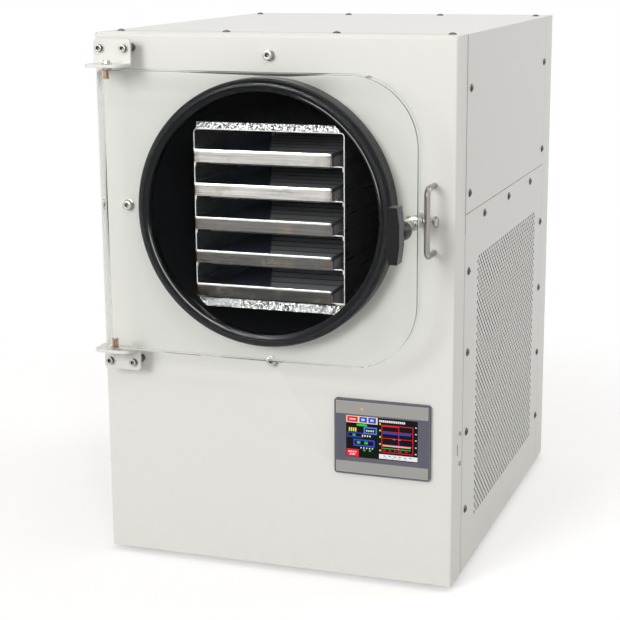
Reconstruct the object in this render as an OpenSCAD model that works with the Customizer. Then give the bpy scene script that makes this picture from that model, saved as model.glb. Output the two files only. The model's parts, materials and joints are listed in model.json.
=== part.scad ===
// Cabinet freeze dryer with a clear round-cornered door, a five-tray rack in a
// round vacuum chamber, and a refrigeration bay below. Front faces -Y, up is +Z.

/* [Cabinet] */
// Width over the side panels
cabinet_w = 514; // [490:1:640]
// Depth from the front face to the back face
cabinet_d = 630; // [600:1:780]
// Height of the cabinet above its feet
cabinet_h = 747; // [720:1:920]
// Thickness of the cabinet's steel sheet
sheet_t = 1.5; // [1:0.1:2.2]
// Outside bend radius of a folded sheet
bend_r = 3; // [2.5:0.5:6]
// Depth of the side returns on the front and back panels
return_d = 52; // [40:1:64]
// Height of the blank upper side panels
upper_panel_h = 238; // [180:1:300]
// Height of a rubber foot
foot_h = 8; // [6:1:30]
// Radius of a rubber foot
foot_r = 18; // [12:1:26]

/* [Vents] */
// Radius of one vent hole
vent_hole_r = 2.7; // [2:0.1:3.6]
// Distance between vent holes in one column
vent_pitch = 11.5; // [10:0.1:16]
// Distance from one column of vent holes to the next
vent_column_step = 6.45; // [6:0.05:12]
// Plain border between the front seam and the first column of holes
vent_front_border = 78; // [60:1:110]
// Plain border between the last column of holes and the rear seam
vent_rear_border = 53; // [45:1:90]
// Plain border above and below the holes
vent_end_border = 63.5; // [45:0.5:90]

/* [Trays and rack] */
// Outside width of a tray
tray_w = 199; // [170:1:240]
// Outside length of a tray
tray_l = 480; // [300:1:560]
// Outside height of a tray
tray_h = 17.5; // [12:0.5:26]
// Sheet thickness of a tray
tray_t = 0.8; // [0.6:0.1:1.2]
// Depth of the folded hem around a tray's rim
tray_hem = 5.5; // [3:0.5:8]
// Height from one shelf to the next
shelf_pitch = 46.2; // [38:0.1:56]
// Sheet thickness of the rack and its shelves
rack_t = 1.5; // [1:0.1:2.5]
// Room beside a tray, on the latch side
tray_slack = 13.5; // [2:0.5:24]

/* [Chamber] */
// Wall of the drum
drum_wall = 3; // [2:0.5:5]
// How far the drum's rim stands out of the front panel
rim_out = 29; // [20:1:40]
// Width of the flange around the drum
flange_w = 53; // [44:1:60]
// Thickness of the flange
flange_t = 6; // [4:0.5:10]
// Width of the rubber gasket outside the drum
gasket_w = 10.4; // [8:0.1:20]
// Thickness of the foam around the coil
foam_t = 24; // [10:1:30]

/* [Door] */
// Thickness of the clear door
door_t = 25; // [16:0.5:32]
// Radius of the door's two latch-side corners
door_corner_r = 92; // [60:1:130]
// Door edge beyond the gasket on the hinge side
door_hinge_margin = 42.6; // [34:0.1:50]
// Door edge beyond the gasket on the latch side
door_latch_margin = 40.1; // [36:0.1:46]
// Door edge above the gasket
door_top_margin = 8.1; // [4:0.1:14]
// Door edge below the gasket
door_bottom_margin = 12.6; // [6:0.1:20]
// Length of the T-handle's grip
grip_l = 76; // [60:1:100]
// Radius of the latch shaft
latch_r = 6; // [5:0.5:7]
// Radius of the striker's bar
striker_r = 4; // [3:0.5:5]
// Distance between the striker's two legs
striker_span = 89; // [80:1:110]

/* [Screen] */
// Width of the screen's bezel
bezel_w = 136; // [110:1:150]
// Height of the screen's bezel
bezel_h = 107; // [90:1:120]
// How far the bezel stands out of the front panel
bezel_out = 6; // [3:0.5:10]
// Height of the bezel's middle above the cabinet's bottom
screen_z = 204; // [100:1:215]
// Distance from the bezel's middle to the cabinet's right side
screen_in = 98; // [80:1:130]

/* [Hidden] */
$fn = 96;

// Colours
paint = [0.89, 0.88, 0.86];
steel = [0.75, 0.75, 0.74];
zinc = [0.80, 0.81, 0.79];
dark_steel = [0.35, 0.33, 0.32];
rubber = [0.05, 0.05, 0.06];
black_plastic = [0.10, 0.10, 0.11];
copper = [0.72, 0.45, 0.28];
foil = [0.85, 0.86, 0.88];
foam = [0.55, 0.55, 0.50];
clear = [0.85, 0.92, 0.92, 0.35];

// Clearances
panel_gap = 0.8;
layer_gap = 0.2;
turn_gap = 0.05;
body_gap = 0.3;
screw_gap = 0.3;
tray_gap = 0.5;
drum_gap = 4;
cut = 1;

// Cabinet
half_w = cabinet_w / 2;
panel_h = cabinet_h - sheet_t;
vent_top = cabinet_h - upper_panel_h;
tab_d = 40;
top_flange_d = 64;
top_edge_in = 3;
tab_x = half_w - 2 * sheet_t - layer_gap;
inner_x = tab_x - layer_gap;
side_y0 = return_d + panel_gap;
side_y1 = cabinet_d - return_d - panel_gap;
pan_wall_h = 24;
pan_t = 2;
foot_in = 45;

// Screws of the sheet-metal panels
screw_r = 2;
screw_flange_r = 5.6;
screw_flange_t = 0.9;
screw_head_r = 4.4;
screw_head_h = 2.9;
screw_l = 9;
screw_slot_w = 1.1;
screw_slot_l = 5;
screw_slot_d = 1.6;
side_screw_in = 20;
side_y_front = return_d + 22;
side_y_rear = cabinet_d - return_d - 14;
upper_screw_z = [cabinet_h - 71, vent_top + 27];
row_screw_z = vent_top - 14;
column_screw_z0 = 88;
column_screws = 4;
row_screws = 3;
column_step = (row_screw_z - 66 - column_screw_z0) / (column_screws - 1);
rear_column_z0 = column_screw_z0 - 4;
rear_column_step = column_step - 3;
row_y0 = side_y_front + 89;
row_y1 = side_y_rear - 89;
row_step = (row_y1 - row_y0) / (row_screws - 1);
side_points = concat(
    [for (z = upper_screw_z, y = [side_y_front, side_y_rear]) [y, z]],
    [for (i = [0 : row_screws - 1]) [row_y0 + i * row_step, row_screw_z]],
    [for (i = [0 : column_screws - 1])
        [side_y_front, column_screw_z0 + i * column_step]],
    [for (i = [0 : column_screws - 1])
        [side_y_rear, rear_column_z0 + i * rear_column_step]]
);
top_screw_x = half_w - 19;
top_screw_front = 46;
top_points = [
    for (y = [top_screw_front, cabinet_d - top_screw_front], k = [-1, -1 / 3, 1 / 3, 1])
        [k * top_screw_x, y]
];

// Vent holes
vent_y0 = side_y0 + vent_front_border;
vent_columns = floor((side_y1 - vent_rear_border - vent_y0) / vent_column_step) + 1;
vent_z0 = vent_end_border;
vent_rows = floor((vent_top - 2 * vent_end_border) / vent_pitch + 0.5);

// Rack and trays, measured from the chamber's axis
shelf_count = 5;
rack_half_in = (tray_w + tray_gap + tray_slack) / 2;
rack_half = rack_half_in + rack_t;
rack_h = shelf_count * shelf_pitch;
rack_drop = 4.3;
shelf_z0 = -rack_h / 2 - rack_drop + 0.5;
rack_low = shelf_z0 - 2 * rack_t;
rack_high = shelf_z0 + rack_h - rack_t;
rack_y0 = -3;
rack_back_gap = 45;
rack_l = tray_l + 20;
rack_bend_r = 6;
rack_lip = 13;
shelf_flange = 7;
shelf_bend_r = 3;
heater_t = 2.5;
heater_in = 20;
foil_top_t = 9;
foil_low_t = 12;
foil_low_z = shelf_z0 - rack_t - heater_t - layer_gap - foil_low_t;
foil_half = rack_half - 4;
foil_chamfer = 9;
tray_y0 = rack_y0 - 9;
tray_corner_r = 3;
rack_clear = 5;

// Chamber
chamber_r = norm([rack_half, rack_low]) + rack_clear;
drum_r = chamber_r + drum_wall;
flange_r = drum_r + flange_w;
flange_y = sheet_t + layer_gap;
drum_y1 = rack_y0 + rack_l + rack_back_gap;
drum_end_t = 6;
axis_top_margin = 12;
axis_z = cabinet_h - axis_top_margin - flange_r;
flange_screw_r = flange_r - 15;
flange_bolt_r = 4;
flange_head_r = 6.5;
flange_head_h = 7;
flange_washer_r = 8;
flange_washer_t = 1.6;
strip_t = 3;
coil_tube_r = 4.5;
coil_r = drum_r + coil_tube_r + layer_gap;
coil_turns = 11;
coil_y0 = flange_y + flange_t + 22;
coil_pitch = (drum_y1 - coil_y0 - 24) / (coil_turns - 1);
coil_link_deg = 24;
foam_r0 = coil_r + coil_tube_r + layer_gap;
foam_r1 = foam_r0 + foam_t;
foam_y0 = flange_y + flange_t + 4;
foam_y1 = drum_y1 + foam_t;
deck_gap = 14;
deck_z = axis_z - foam_r1 - deck_gap;
deck_lip = 18;
cradle_half = 130;
cradle_rise = 50;
cradle_t = 4;
cradle_ys = [90, drum_y1 - 60];
deck_y0 = return_d + tab_d + 2;
deck_y1 = cabinet_d - return_d - tab_d - 2;

// Gasket
gasket_r = drum_r + gasket_w;
gasket_lip = 4;
gasket_lip_d = 18;
door_back = rim_out + 6;
gasket_front = door_back - body_gap;
gasket_round = 9;
gasket_steps = 8;

// Door
door_x0 = -gasket_r - door_hinge_margin;
door_x1 = gasket_r + door_latch_margin;
door_z0 = axis_z - gasket_r - door_bottom_margin;
door_z1 = axis_z + gasket_r + door_top_margin;
door_front = door_back + door_t;
door_small_r = 3;
pin_x = door_x0 + 8.5;
pin_y = -(door_back + door_t / 2);
pin_r = 3;
bush_r = 4.5;
bush_l = 12;
hinge_washer_r = 6.5;
hinge_washer_t = 1.8;

// Hinge brackets
bracket_t = 4;
bracket_w = 55;
bracket_h = 36;
bracket_r = 5;
bracket_nose_r = 12;
bracket_nose = 2;
bracket_gap = 3;
spacer_l = 22;
spacer_r = 5.5;
bracket_edge = 6;
bracket_x = max(pin_x - 2.5, -half_w + bracket_edge + bracket_w / 2);
bracket_screw_dx = 18;
bracket_screw_rise = 24;
bracket_screw_r = 3;
bracket_head_r = 5;
bracket_head_h = 6;
bracket_y = -spacer_l - bracket_t;
bracket_screw_heights = [
    door_z1 + bracket_gap + bracket_screw_rise,
    door_z0 - bracket_gap - bracket_screw_rise
];
hinge_bolt_head_r = 5.8;
hinge_bolt_head_h = 4;
hinge_flange_r = 7;
hinge_flange_t = 1.2;

// Latch
latch_x = door_x1 - 9.5;
collar_r = 9;
collar_y0 = -door_back + body_gap;
collar_y1 = -10;
sleeve_r = 7.5;
sleeve_l = 34;
hub_l = 22;
hub_r = 12.5;
hub_r_front = 10;
grip_d = 22;
grip_w = 20;
grip_end_w = 13;
grip_end_l = 24;
sleeve_y1 = -door_front - body_gap;
hub_y1 = sleeve_y1 - sleeve_l;
grip_y1 = hub_y1 - hub_l;
grip_y0 = grip_y1 - grip_d;
pawl_y = -21;
pawl_r = 4;
pawl_hex = 7.5;
pawl_head_t = 5.5;
pawl_nut_t = 5;
pawl_washer_r = 8.5;
pawl_washer_t = 1.4;
striker_x = latch_x + 16;
striker_y = -36;
striker_bend = 9;
striker_bolt_r = 2;
pawl_x1 = striker_x + striker_r + 1;

// Screen and data port
screen_x = half_w - screen_in;
bezel_r = 4;
display_w = 102;
display_h = 59;
display_rise = 1;
display_t = 2;
lamp_x = -28;
lamp_z = 41;
lamp_r = 1.7;
lamp_d = 3;
lamp_out = 0.4;
screen_cut_in = 6;
housing_in = 1;
housing_d = 36;
port_y = 27;
port_z = 188;
port_slot_w = 6;
port_slot_h = 16;
port_body_d = 16;
port_wall = 1;
port_ear_y = 11;
port_ear_h = 58;
port_screw_dz = 21.5;
port_screw_r = 1.6;
port_head_r = 3;
port_head_h = 2;

// Refrigeration bay
floor_z = pan_t;
can_r = 74;
can_h = 150;
can_x = -half_w + 120;
can_y = cabinet_d - 175;
can_dome = 34;
can_foot = 12;
can_stub_z = 120;
stub_out = 12;
can_top_stub = 40;
can_top_z = 210;
condenser_x = half_w - 66;
condenser_t = 32;
condenser_y0 = 150;
condenser_y1 = 410;
condenser_z0 = floor_z + 14;
condenser_gap = 30;
condenser_z1 = floor(deck_z - condenser_gap);
fin_t = 1.2;
fin_pitch = 6.5;
fin_groove = 2.5;
condenser_tube_r = 4.7;
condenser_rows = 6;
fins = floor((condenser_y1 - condenser_y0) / fin_pitch);
tube_y0 = condenser_y0 - 8;
tube_y1 = condenser_y0 + fins * fin_pitch + 8;
pipe_r = 4;
pipe_x = 20;
pipe_y = cabinet_d - 130;
fan_x = condenser_x - condenser_t / 2 - 34;
fan_y = (condenser_y0 + condenser_y1) / 2;
fan_z = (condenser_z0 + condenser_z1) / 2;
fan_margin = 23;
fan_r = (condenser_z1 - condenser_z0) / 2 - fan_margin;
fan_hub_r = 22;
fan_blades_n = 5;
fan_blade_t = 2;
fan_blade_tilt = 32;
fan_tip_gap = 6;
shroud_t = 2;
motor_r = 32;
motor_l = 58;
motor_shaft_r = 4;
supply_w = 70;
supply_d = 150;
supply_h = 90;
supply_y = 90;
supply_slots = 10;
supply_slot_d = 3;

// Fittings at the back
vacuum_x = 128;
vacuum_z = axis_z + 60;
vacuum_r = 8;
vacuum_bore_r = 4;
vacuum_out = 45;
drain_x = 0;
drain_z = axis_z - chamber_r + 16;
drain_r = 8;
drain_bore_r = 5;
drain_out = 45;
valve_r = 12;
valve_stem_r = 3;
lever_l = 46;
lever_w = 10;
lever_t = 3;
inlet_x = half_w - 100;
inlet_z = 130;
inlet_w = 34;
inlet_h = 66;
inlet_flange = 8;
inlet_d = 30;
recess_w = 26;
recess_h = 20;
recess_d = 18;
blade_w = 2;
blade_l = 5;
blade_out = 12;
rocker_w = 14;
rocker_h = 22;
rocker_r = 15;
rocker_tilt = 7;
rocker_dz = 14;
socket_dz = -16;
outlet_x = half_w - 190;
outlet_w = 44;
outlet_h = 44;

// Whole-object placement: centred in depth, standing on its feet
front_most = grip_y0;
back_most = cabinet_d + vacuum_out;
shift_y = -(front_most + back_most) / 2;

// Placement and drawing helpers

module place() {
    translate([0, shift_y, foot_h]) children();
}

module place_axis() {
    translate([0, shift_y, foot_h + axis_z]) children();
}

module rod_x(x0, x1, r) {
    translate([x0, 0, 0]) rotate([0, 90, 0]) cylinder(r = r, h = x1 - x0);
}

module rod_y(y0, y1, r) {
    translate([0, y0, 0]) rotate([-90, 0, 0]) cylinder(r = r, h = y1 - y0);
}

module rod_z(z0, z1, r) {
    translate([0, 0, z0]) cylinder(r = r, h = z1 - z0);
}

module ring_z(z0, z1, r, bore_r) {
    difference() {
        rod_z(z0, z1, r);
        rod_z(z0 - cut, z1 + cut, bore_r);
    }
}

// A flat outline in X and Z, given thickness along Y from y0
module sheet_xz(y0, t) {
    translate([0, y0 + t, 0]) rotate([90, 0, 0]) linear_extrude(t) children();
}

// A flat outline in Y and Z, given thickness along X from x0
module sheet_yz(x0, t) {
    translate([x0, 0, 0]) rotate([90, 0, 90]) linear_extrude(t) children();
}

module box(x0, x1, y0, y1, z0, z1) {
    translate([x0, y0, z0]) cube([x1 - x0, y1 - y0, z1 - z0]);
}

module both_sides() {
    children();
    mirror([1, 0, 0]) children();
}

// Rectangle from a corner to a corner, with round corners
module round_rect(x0, x1, y0, y1, r) {
    translate([x0 + r, y0]) square([x1 - x0 - 2 * r, y1 - y0]);
    translate([x0, y0 + r]) square([x1 - x0, y1 - y0 - 2 * r]);
    for (x = [x0 + r, x1 - r], y = [y0 + r, y1 - r]) translate([x, y]) circle(r);
}

// Hexagon whose corners lie on a circle
module hexagon(r) {
    circle(r, $fn = 6);
}

// Quarter ring of a bend, in the corner towards +X and -Y
module bend(r, t) {
    intersection() {
        difference() {
            circle(r);
            circle(r - t);
        }
        translate([0, -r]) square(r);
    }
}

// Outer corner cutter that leaves a quarter round along X
module edge_round(x0, x1, y, z, r) {
    translate([x0, y, z]) rotate([90, 0, 90]) linear_extrude(x1 - x0) difference() {
        translate([-cut, -r]) square([r + cut, r + cut]);
        translate([r, -r]) circle(r);
    }
}

// Sheet-metal screw with a flanged head, pointing down, its seat at z = 0
module sheet_screw() {
    difference() {
        union() {
            rod_z(-screw_l, screw_flange_t, screw_r);
            rod_z(0, screw_flange_t, screw_flange_r);
            rotate_extrude() intersection() {
                translate([0, screw_head_h - screw_head_r * 2]) circle(screw_head_r * 2);
                square([screw_head_r, screw_head_h]);
            }
        }
        for (a = [0, 90]) rotate([0, 0, a])
            translate([-screw_slot_l / 2, -screw_slot_w / 2, screw_head_h - screw_slot_d])
                cube([screw_slot_l, screw_slot_w, screw_slot_d + cut]);
    }
}

// Socket-head screw along +Y from its seat at y = 0, with its head towards -Y
module socket_screw(r, l, head_r, head_h, socket_r) {
    difference() {
        union() {
            rod_y(0, l, r);
            rod_y(-head_h, 0, head_r);
        }
        rotate([90, 0, 0]) translate([0, 0, head_h / 3])
            linear_extrude(head_h) hexagon(socket_r);
    }
}

// Cabinet sheet metal

// Face, two returns and the joggled tabs behind the side panels, seen from above
module fold_profile() {
    translate([-half_w + bend_r, 0]) square([cabinet_w - 2 * bend_r, sheet_t]);
    both_sides() {
        translate([half_w - sheet_t, bend_r]) square([sheet_t, return_d - bend_r]);
        translate([half_w - bend_r, bend_r]) bend(bend_r, sheet_t);
        translate([tab_x, return_d - sheet_t]) square([half_w - tab_x, sheet_t]);
        translate([tab_x, return_d - sheet_t]) square([sheet_t, tab_d + sheet_t]);
    }
}

// Face panel with its top flange, before its openings are cut
module face_panel() {
    difference() {
        union() {
            linear_extrude(panel_h) fold_profile();
            box(-half_w + bend_r, half_w - bend_r, sheet_t / 2, top_flange_d,
                panel_h - sheet_t, panel_h);
        }
        edge_round(-half_w - cut, half_w + cut, 0, panel_h, bend_r);
        side_screw_bores();
        top_screw_bores();
    }
}

module side_screw_bores() {
    both_sides() for (p = side_points)
        translate([0, p[0], p[1]]) rod_x(tab_x - cut, half_w + cut, screw_r + screw_gap);
}

module top_screw_bores() {
    for (p = top_points)
        translate([p[0], p[1], 0])
            rod_z(panel_h - 2 * sheet_t, cabinet_h + cut, screw_r + screw_gap);
}

module front_panel() {
    color(paint) place() difference() {
        face_panel();
        translate([0, 0, axis_z]) rod_y(-cut, bend_r, drum_r + drum_gap);
        for (a = [0 : 90 : 270])
            translate([0, 0, axis_z]) rotate([0, a, 0]) translate([0, 0, flange_screw_r])
                rod_y(-cut, bend_r, flange_bolt_r + screw_gap);
        sheet_xz(-cut, bend_r + cut) screen_cutout();
        for (z = bracket_screw_heights, dx = [-1, 1])
            translate([bracket_x + dx * bracket_screw_dx, 0, z])
                rod_y(-cut, bend_r, bracket_screw_r + screw_gap);
        for (dz = [-1, 1])
            translate([striker_x, 0, axis_z + dz * striker_span / 2])
                rod_y(-cut, bend_r, striker_bolt_r + screw_gap);
        box(half_w - bend_r, half_w + cut, port_y - port_slot_w / 2,
            port_y + port_slot_w / 2, port_z - port_slot_h / 2, port_z + port_slot_h / 2);
        for (dz = [-1, 1])
            translate([0, port_y + port_ear_y, port_z + dz * port_screw_dz])
                rod_x(half_w - bend_r, half_w + cut, port_screw_r + screw_gap / 2);
    }
}

module screen_cutout() {
    round_rect(screen_x - bezel_w / 2 + screen_cut_in, screen_x + bezel_w / 2 - screen_cut_in,
               screen_z - bezel_h / 2 + screen_cut_in, screen_z + bezel_h / 2 - screen_cut_in,
               bezel_r);
}

module back_panel() {
    color(paint) place() difference() {
        translate([0, cabinet_d, 0]) mirror([0, 1, 0]) face_panel_back();
        translate([vacuum_x, 0, vacuum_z])
            rod_y(cabinet_d - bend_r, cabinet_d + cut, vacuum_r + screw_gap);
        translate([drain_x, 0, drain_z])
            rod_y(cabinet_d - bend_r, cabinet_d + cut, drain_r + screw_gap);
        sheet_xz(cabinet_d - bend_r, bend_r + cut)
            translate([inlet_x - inlet_w / 2 - screw_gap, inlet_z - inlet_h / 2 - screw_gap])
                square([inlet_w + 2 * screw_gap, inlet_h + 2 * screw_gap]);
        sheet_xz(cabinet_d - bend_r, bend_r + cut)
            translate([outlet_x - outlet_w / 2 + inlet_flange - screw_gap,
                       inlet_z - outlet_h / 2 + inlet_flange - screw_gap])
                square(outlet_w - 2 * inlet_flange + 2 * screw_gap);
    }
}

// The back panel before it is turned to face the back
module face_panel_back() {
    difference() {
        union() {
            linear_extrude(panel_h) fold_profile();
            box(-half_w + bend_r, half_w - bend_r, sheet_t / 2, top_flange_d,
                panel_h - sheet_t, panel_h);
        }
        translate([0, cabinet_d, 0]) mirror([0, 1, 0]) {
            side_screw_bores();
            top_screw_bores();
        }
    }
}

module top_panel() {
    color(paint) place() difference() {
        translate([0, 0, panel_h]) linear_extrude(sheet_t)
            round_rect(-half_w, half_w, top_edge_in, cabinet_d, bend_r);
        top_screw_bores();
    }
}

module right_upper_panel() {
    color(paint) place() difference() {
        union() {
            box(half_w - sheet_t, half_w, side_y0, side_y1, vent_top + panel_gap / 2, panel_h);
            box(tab_x, half_w, side_y0 + tab_d + 4, side_y1 - tab_d - 4,
                vent_top + panel_gap / 2, vent_top + panel_gap / 2 + sheet_t);
            box(tab_x, tab_x + sheet_t, side_y0 + tab_d + 4, side_y1 - tab_d - 4,
                row_screw_z - 12, vent_top + panel_gap / 2 + sheet_t);
            box(half_w - 16, half_w, side_y0 + tab_d + 4, side_y1 - tab_d - 4,
                panel_h - sheet_t, panel_h);
        }
        side_screw_bores();
    }
}

module right_vent_panel() {
    color(paint) place() difference() {
        sheet_yz(half_w - sheet_t, sheet_t) difference() {
            translate([side_y0, 0]) square([side_y1 - side_y0, vent_top - panel_gap / 2]);
            for (i = [0 : vent_columns - 1], j = [0 : vent_rows - 1])
                translate([vent_y0 + i * vent_column_step,
                           vent_z0 + (j + (i % 2) / 2) * vent_pitch])
                    circle(vent_hole_r, $fn = 24);
        }
        side_screw_bores();
    }
}

module left_upper_panel() {
    mirror([1, 0, 0]) right_upper_panel();
}

module left_vent_panel() {
    mirror([1, 0, 0]) right_vent_panel();
}

module base_pan() {
    color(paint) place() difference() {
        union() {
            box(-inner_x, inner_x, sheet_t + layer_gap, cabinet_d - sheet_t - layer_gap,
                0, pan_t);
            difference() {
                box(-inner_x, inner_x, sheet_t + layer_gap, cabinet_d - sheet_t - layer_gap,
                    0, pan_wall_h);
                box(-inner_x + pan_t, inner_x - pan_t, sheet_t + layer_gap + pan_t,
                    cabinet_d - sheet_t - layer_gap - pan_t, -cut, pan_wall_h + cut);
            }
        }
    }
}

module feet() {
    color(rubber) place() for (x = [-1, 1], y = [foot_in, cabinet_d - foot_in])
        translate([x * (half_w - foot_in), y, 0]) rotate_extrude()
            polygon([[0, -foot_h], [foot_r - 2, -foot_h], [foot_r, 0], [0, 0]]);
}

module mid_deck() {
    color(steel) place() difference() {
        union() {
            box(-inner_x, inner_x, deck_y0, deck_y1, deck_z - sheet_t, deck_z);
            both_sides() box(inner_x - sheet_t, inner_x, deck_y0, deck_y1,
                             deck_z - deck_lip, deck_z);
        }
        translate([drain_x - 40, deck_y1 - 60, deck_z - deck_lip]) cube([80, 70, 2 * deck_lip]);
    }
}

module drum_cradles() {
    color(steel) place() for (y = cradle_ys) difference() {
        box(-cradle_half, cradle_half, y, y + cradle_t, deck_z, deck_z + cradle_rise);
        translate([0, 0, axis_z]) rod_y(y - cut, y + cradle_t + cut, foam_r1 + layer_gap);
    }
}

// Vacuum chamber

module chamber_drum() {
    color(steel) place_axis() difference() {
        rod_y(-rim_out, drum_y1 - drum_end_t, drum_r);
        rod_y(-rim_out - cut, drum_y1, chamber_r);
    }
}

// End wall of the drum with its two ports
module drum_end() {
    color(steel) place_axis() difference() {
        rod_y(drum_y1 - drum_end_t, drum_y1, drum_r);
        translate([vacuum_x, 0, vacuum_z - axis_z])
            rod_y(drum_y1 - drum_end_t - cut, drum_y1 + cut, vacuum_r);
        translate([drain_x, 0, drain_z - axis_z])
            rod_y(drum_y1 - drum_end_t - cut, drum_y1 + cut, drain_r);
    }
}

// Ring around the drum that is screwed behind the front panel
module mouth_flange() {
    color(steel) place_axis() difference() {
        rod_y(flange_y, flange_y + flange_t, flange_r);
        rod_y(flange_y - cut, flange_y + flange_t + cut, drum_r + layer_gap);
        for (a = [0 : 90 : 270]) rotate([0, a, 0]) translate([0, 0, flange_screw_r])
            rod_y(flange_y - cut, flange_y + flange_t + cut, flange_bolt_r);
    }
}

// Section of the gasket: radius and distance along the chamber's axis
module gasket_profile() {
    inner = chamber_r - gasket_lip;
    polygon(concat(
        [[gasket_r, -cut / 2]],
        [for (i = [0 : gasket_steps])
            [gasket_r - gasket_round * (1 - cos(90 * i / gasket_steps)),
             -gasket_front + gasket_round * (1 - sin(90 * i / gasket_steps))]],
        [[chamber_r + 3, -gasket_front], [chamber_r + 1.5, -gasket_front + 2],
         [inner, -gasket_front + 3.5], [inner, -gasket_front + gasket_lip_d],
         [chamber_r - layer_gap, -gasket_front + gasket_lip_d],
         [chamber_r - layer_gap, -rim_out], [drum_r + layer_gap, -rim_out],
         [drum_r + layer_gap, -cut / 2]]
    ));
}

module door_gasket() {
    color(rubber) place_axis() rotate([-90, 0, 0]) rotate_extrude() gasket_profile();
}

module insulation_jacket() {
    color(foam) place_axis() difference() {
        rotate([-90, 0, 0]) rotate_extrude() polygon([
            [foam_r0, foam_y0], [foam_r1, foam_y0], [foam_r1, foam_y1], [0, foam_y1],
            [0, drum_y1 + layer_gap], [foam_r0, drum_y1 + layer_gap]
        ]);
        translate([vacuum_x, 0, vacuum_z - axis_z])
            rod_y(drum_y1, foam_y1 + cut, vacuum_r + screw_gap);
        translate([drain_x, 0, drain_z - axis_z])
            rod_y(drum_y1, foam_y1 + cut, drain_r + screw_gap);
    }
}

// Rings of tube around the drum, joined from one to the next by straight links
module evaporator_coil() {
    color(copper) place_axis() union() {
        for (i = [0 : coil_turns - 1]) translate([0, coil_y0 + i * coil_pitch, 0])
            rotate([-90, 0, 0]) rotate_extrude() translate([coil_r, 0]) circle(coil_tube_r);
        for (i = [0 : coil_turns - 2])
            rotate([0, (i % 2 == 0 ? 1 : -1) * coil_link_deg, 0]) translate([0, 0, coil_r])
                rod_y(coil_y0 + i * coil_pitch, coil_y0 + (i + 1) * coil_pitch,
                      coil_tube_r - layer_gap);
    }
}

module rack_frame() {
    color(steel) place_axis() union() {
        sheet_xz(rack_y0, rack_l) rack_outline();
        intersection() {
            both_sides() box(rack_half - strip_t, rack_half, rack_y0 + 10,
                             rack_y0 + rack_l - 10, -chamber_r, rack_low + rack_t);
            rod_y(rack_y0, rack_y0 + rack_l, chamber_r - layer_gap);
        }
    }
}

module rack_outline() {
    both_sides() {
        translate([rack_half_in, rack_low])
            square([rack_t, rack_high - rack_low - rack_bend_r]);
        translate([rack_half - rack_bend_r, rack_high - rack_bend_r]) mirror([0, 1])
            bend(rack_bend_r, rack_t);
        translate([rack_half - rack_lip, rack_low]) square([rack_lip, rack_t]);
    }
    translate([-rack_half + rack_bend_r, rack_high - rack_t])
        square([2 * (rack_half - rack_bend_r), rack_t]);
}

// Height of a shelf's upper face above the chamber's axis, counted from the lowest
function shelf_z(i) = shelf_z0 + i * shelf_pitch;

// Shelves with side flanges bent down; the lowest lies flat on the frame's lips
module rack_shelves() {
    color(steel) place_axis() for (i = [0 : shelf_count - 1])
        translate([0, 0, shelf_z(i)]) sheet_xz(rack_y0, rack_l)
            if (i == 0)
                translate([-rack_half_in, -rack_t]) square([2 * rack_half_in, rack_t]);
            else
                shelf_outline();
}

module shelf_outline() {
    flat = rack_half_in - shelf_bend_r;
    translate([-flat, -rack_t]) square([2 * flat, rack_t]);
    both_sides() {
        translate([flat, -shelf_bend_r]) mirror([0, 1]) bend(shelf_bend_r, rack_t);
        translate([rack_half_in - rack_t, -shelf_flange])
            square([rack_t, shelf_flange - shelf_bend_r]);
    }
}

module heater_pads() {
    color(dark_steel) place_axis() for (i = [0 : shelf_count - 1])
        box(-rack_half_in + heater_in, rack_half_in - heater_in, rack_y0 + 4,
            rack_y0 + rack_l - heater_in, shelf_z(i) - rack_t - heater_t, shelf_z(i) - rack_t);
}

// Foil-faced pads above and below the rack, with their outer corners cut off
module foil_pads() {
    color(foil) place_axis() {
        sheet_xz(rack_y0, rack_l) polygon([
            [-foil_half, rack_high], [foil_half, rack_high],
            [foil_half - foil_chamfer, rack_high + foil_top_t],
            [-foil_half + 1, rack_high + foil_top_t]
        ]);
        translate([0, 0, foil_low_z])
            sheet_xz(rack_y0, rack_l) polygon([
                [-foil_half + foil_chamfer, 0], [foil_half - foil_chamfer, 0],
                [foil_half, foil_low_t - 2], [foil_half, foil_low_t],
                [-foil_half, foil_low_t], [-foil_half, foil_low_t - 2]
            ]);
    }
}

// Folded sheet tray with a hem around its rim, resting against the rack's left side
module tray(i) {
    x0 = -rack_half_in + tray_gap;
    z0 = shelf_z(i);
    color(steel) place_axis() translate([x0, tray_y0, z0]) difference() {
        union() {
            linear_extrude(tray_h) round_rect(tray_t, tray_w - tray_t, tray_t,
                                              tray_l - tray_t, tray_corner_r);
            translate([0, 0, tray_h - tray_hem]) linear_extrude(tray_hem)
                round_rect(0, tray_w, 0, tray_l, tray_corner_r + tray_t);
        }
        translate([0, 0, tray_t]) linear_extrude(tray_h)
            round_rect(2 * tray_t, tray_w - 2 * tray_t, 2 * tray_t, tray_l - 2 * tray_t,
                       tray_corner_r - tray_t);
    }
}

// Door and hinges

module door_plate() {
    color(clear) place() difference() {
        sheet_xz(-door_front, door_t) door_outline();
        translate([latch_x, 0, axis_z]) rod_y(-door_front - cut, -door_back + cut,
                                              latch_r + turn_gap);
        translate([pin_x, pin_y, 0]) {
            rod_z(door_z1 - bush_l, door_z1 + cut, bush_r);
            rod_z(door_z0 - cut, door_z0 + bush_l, bush_r);
        }
    }
}

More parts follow.
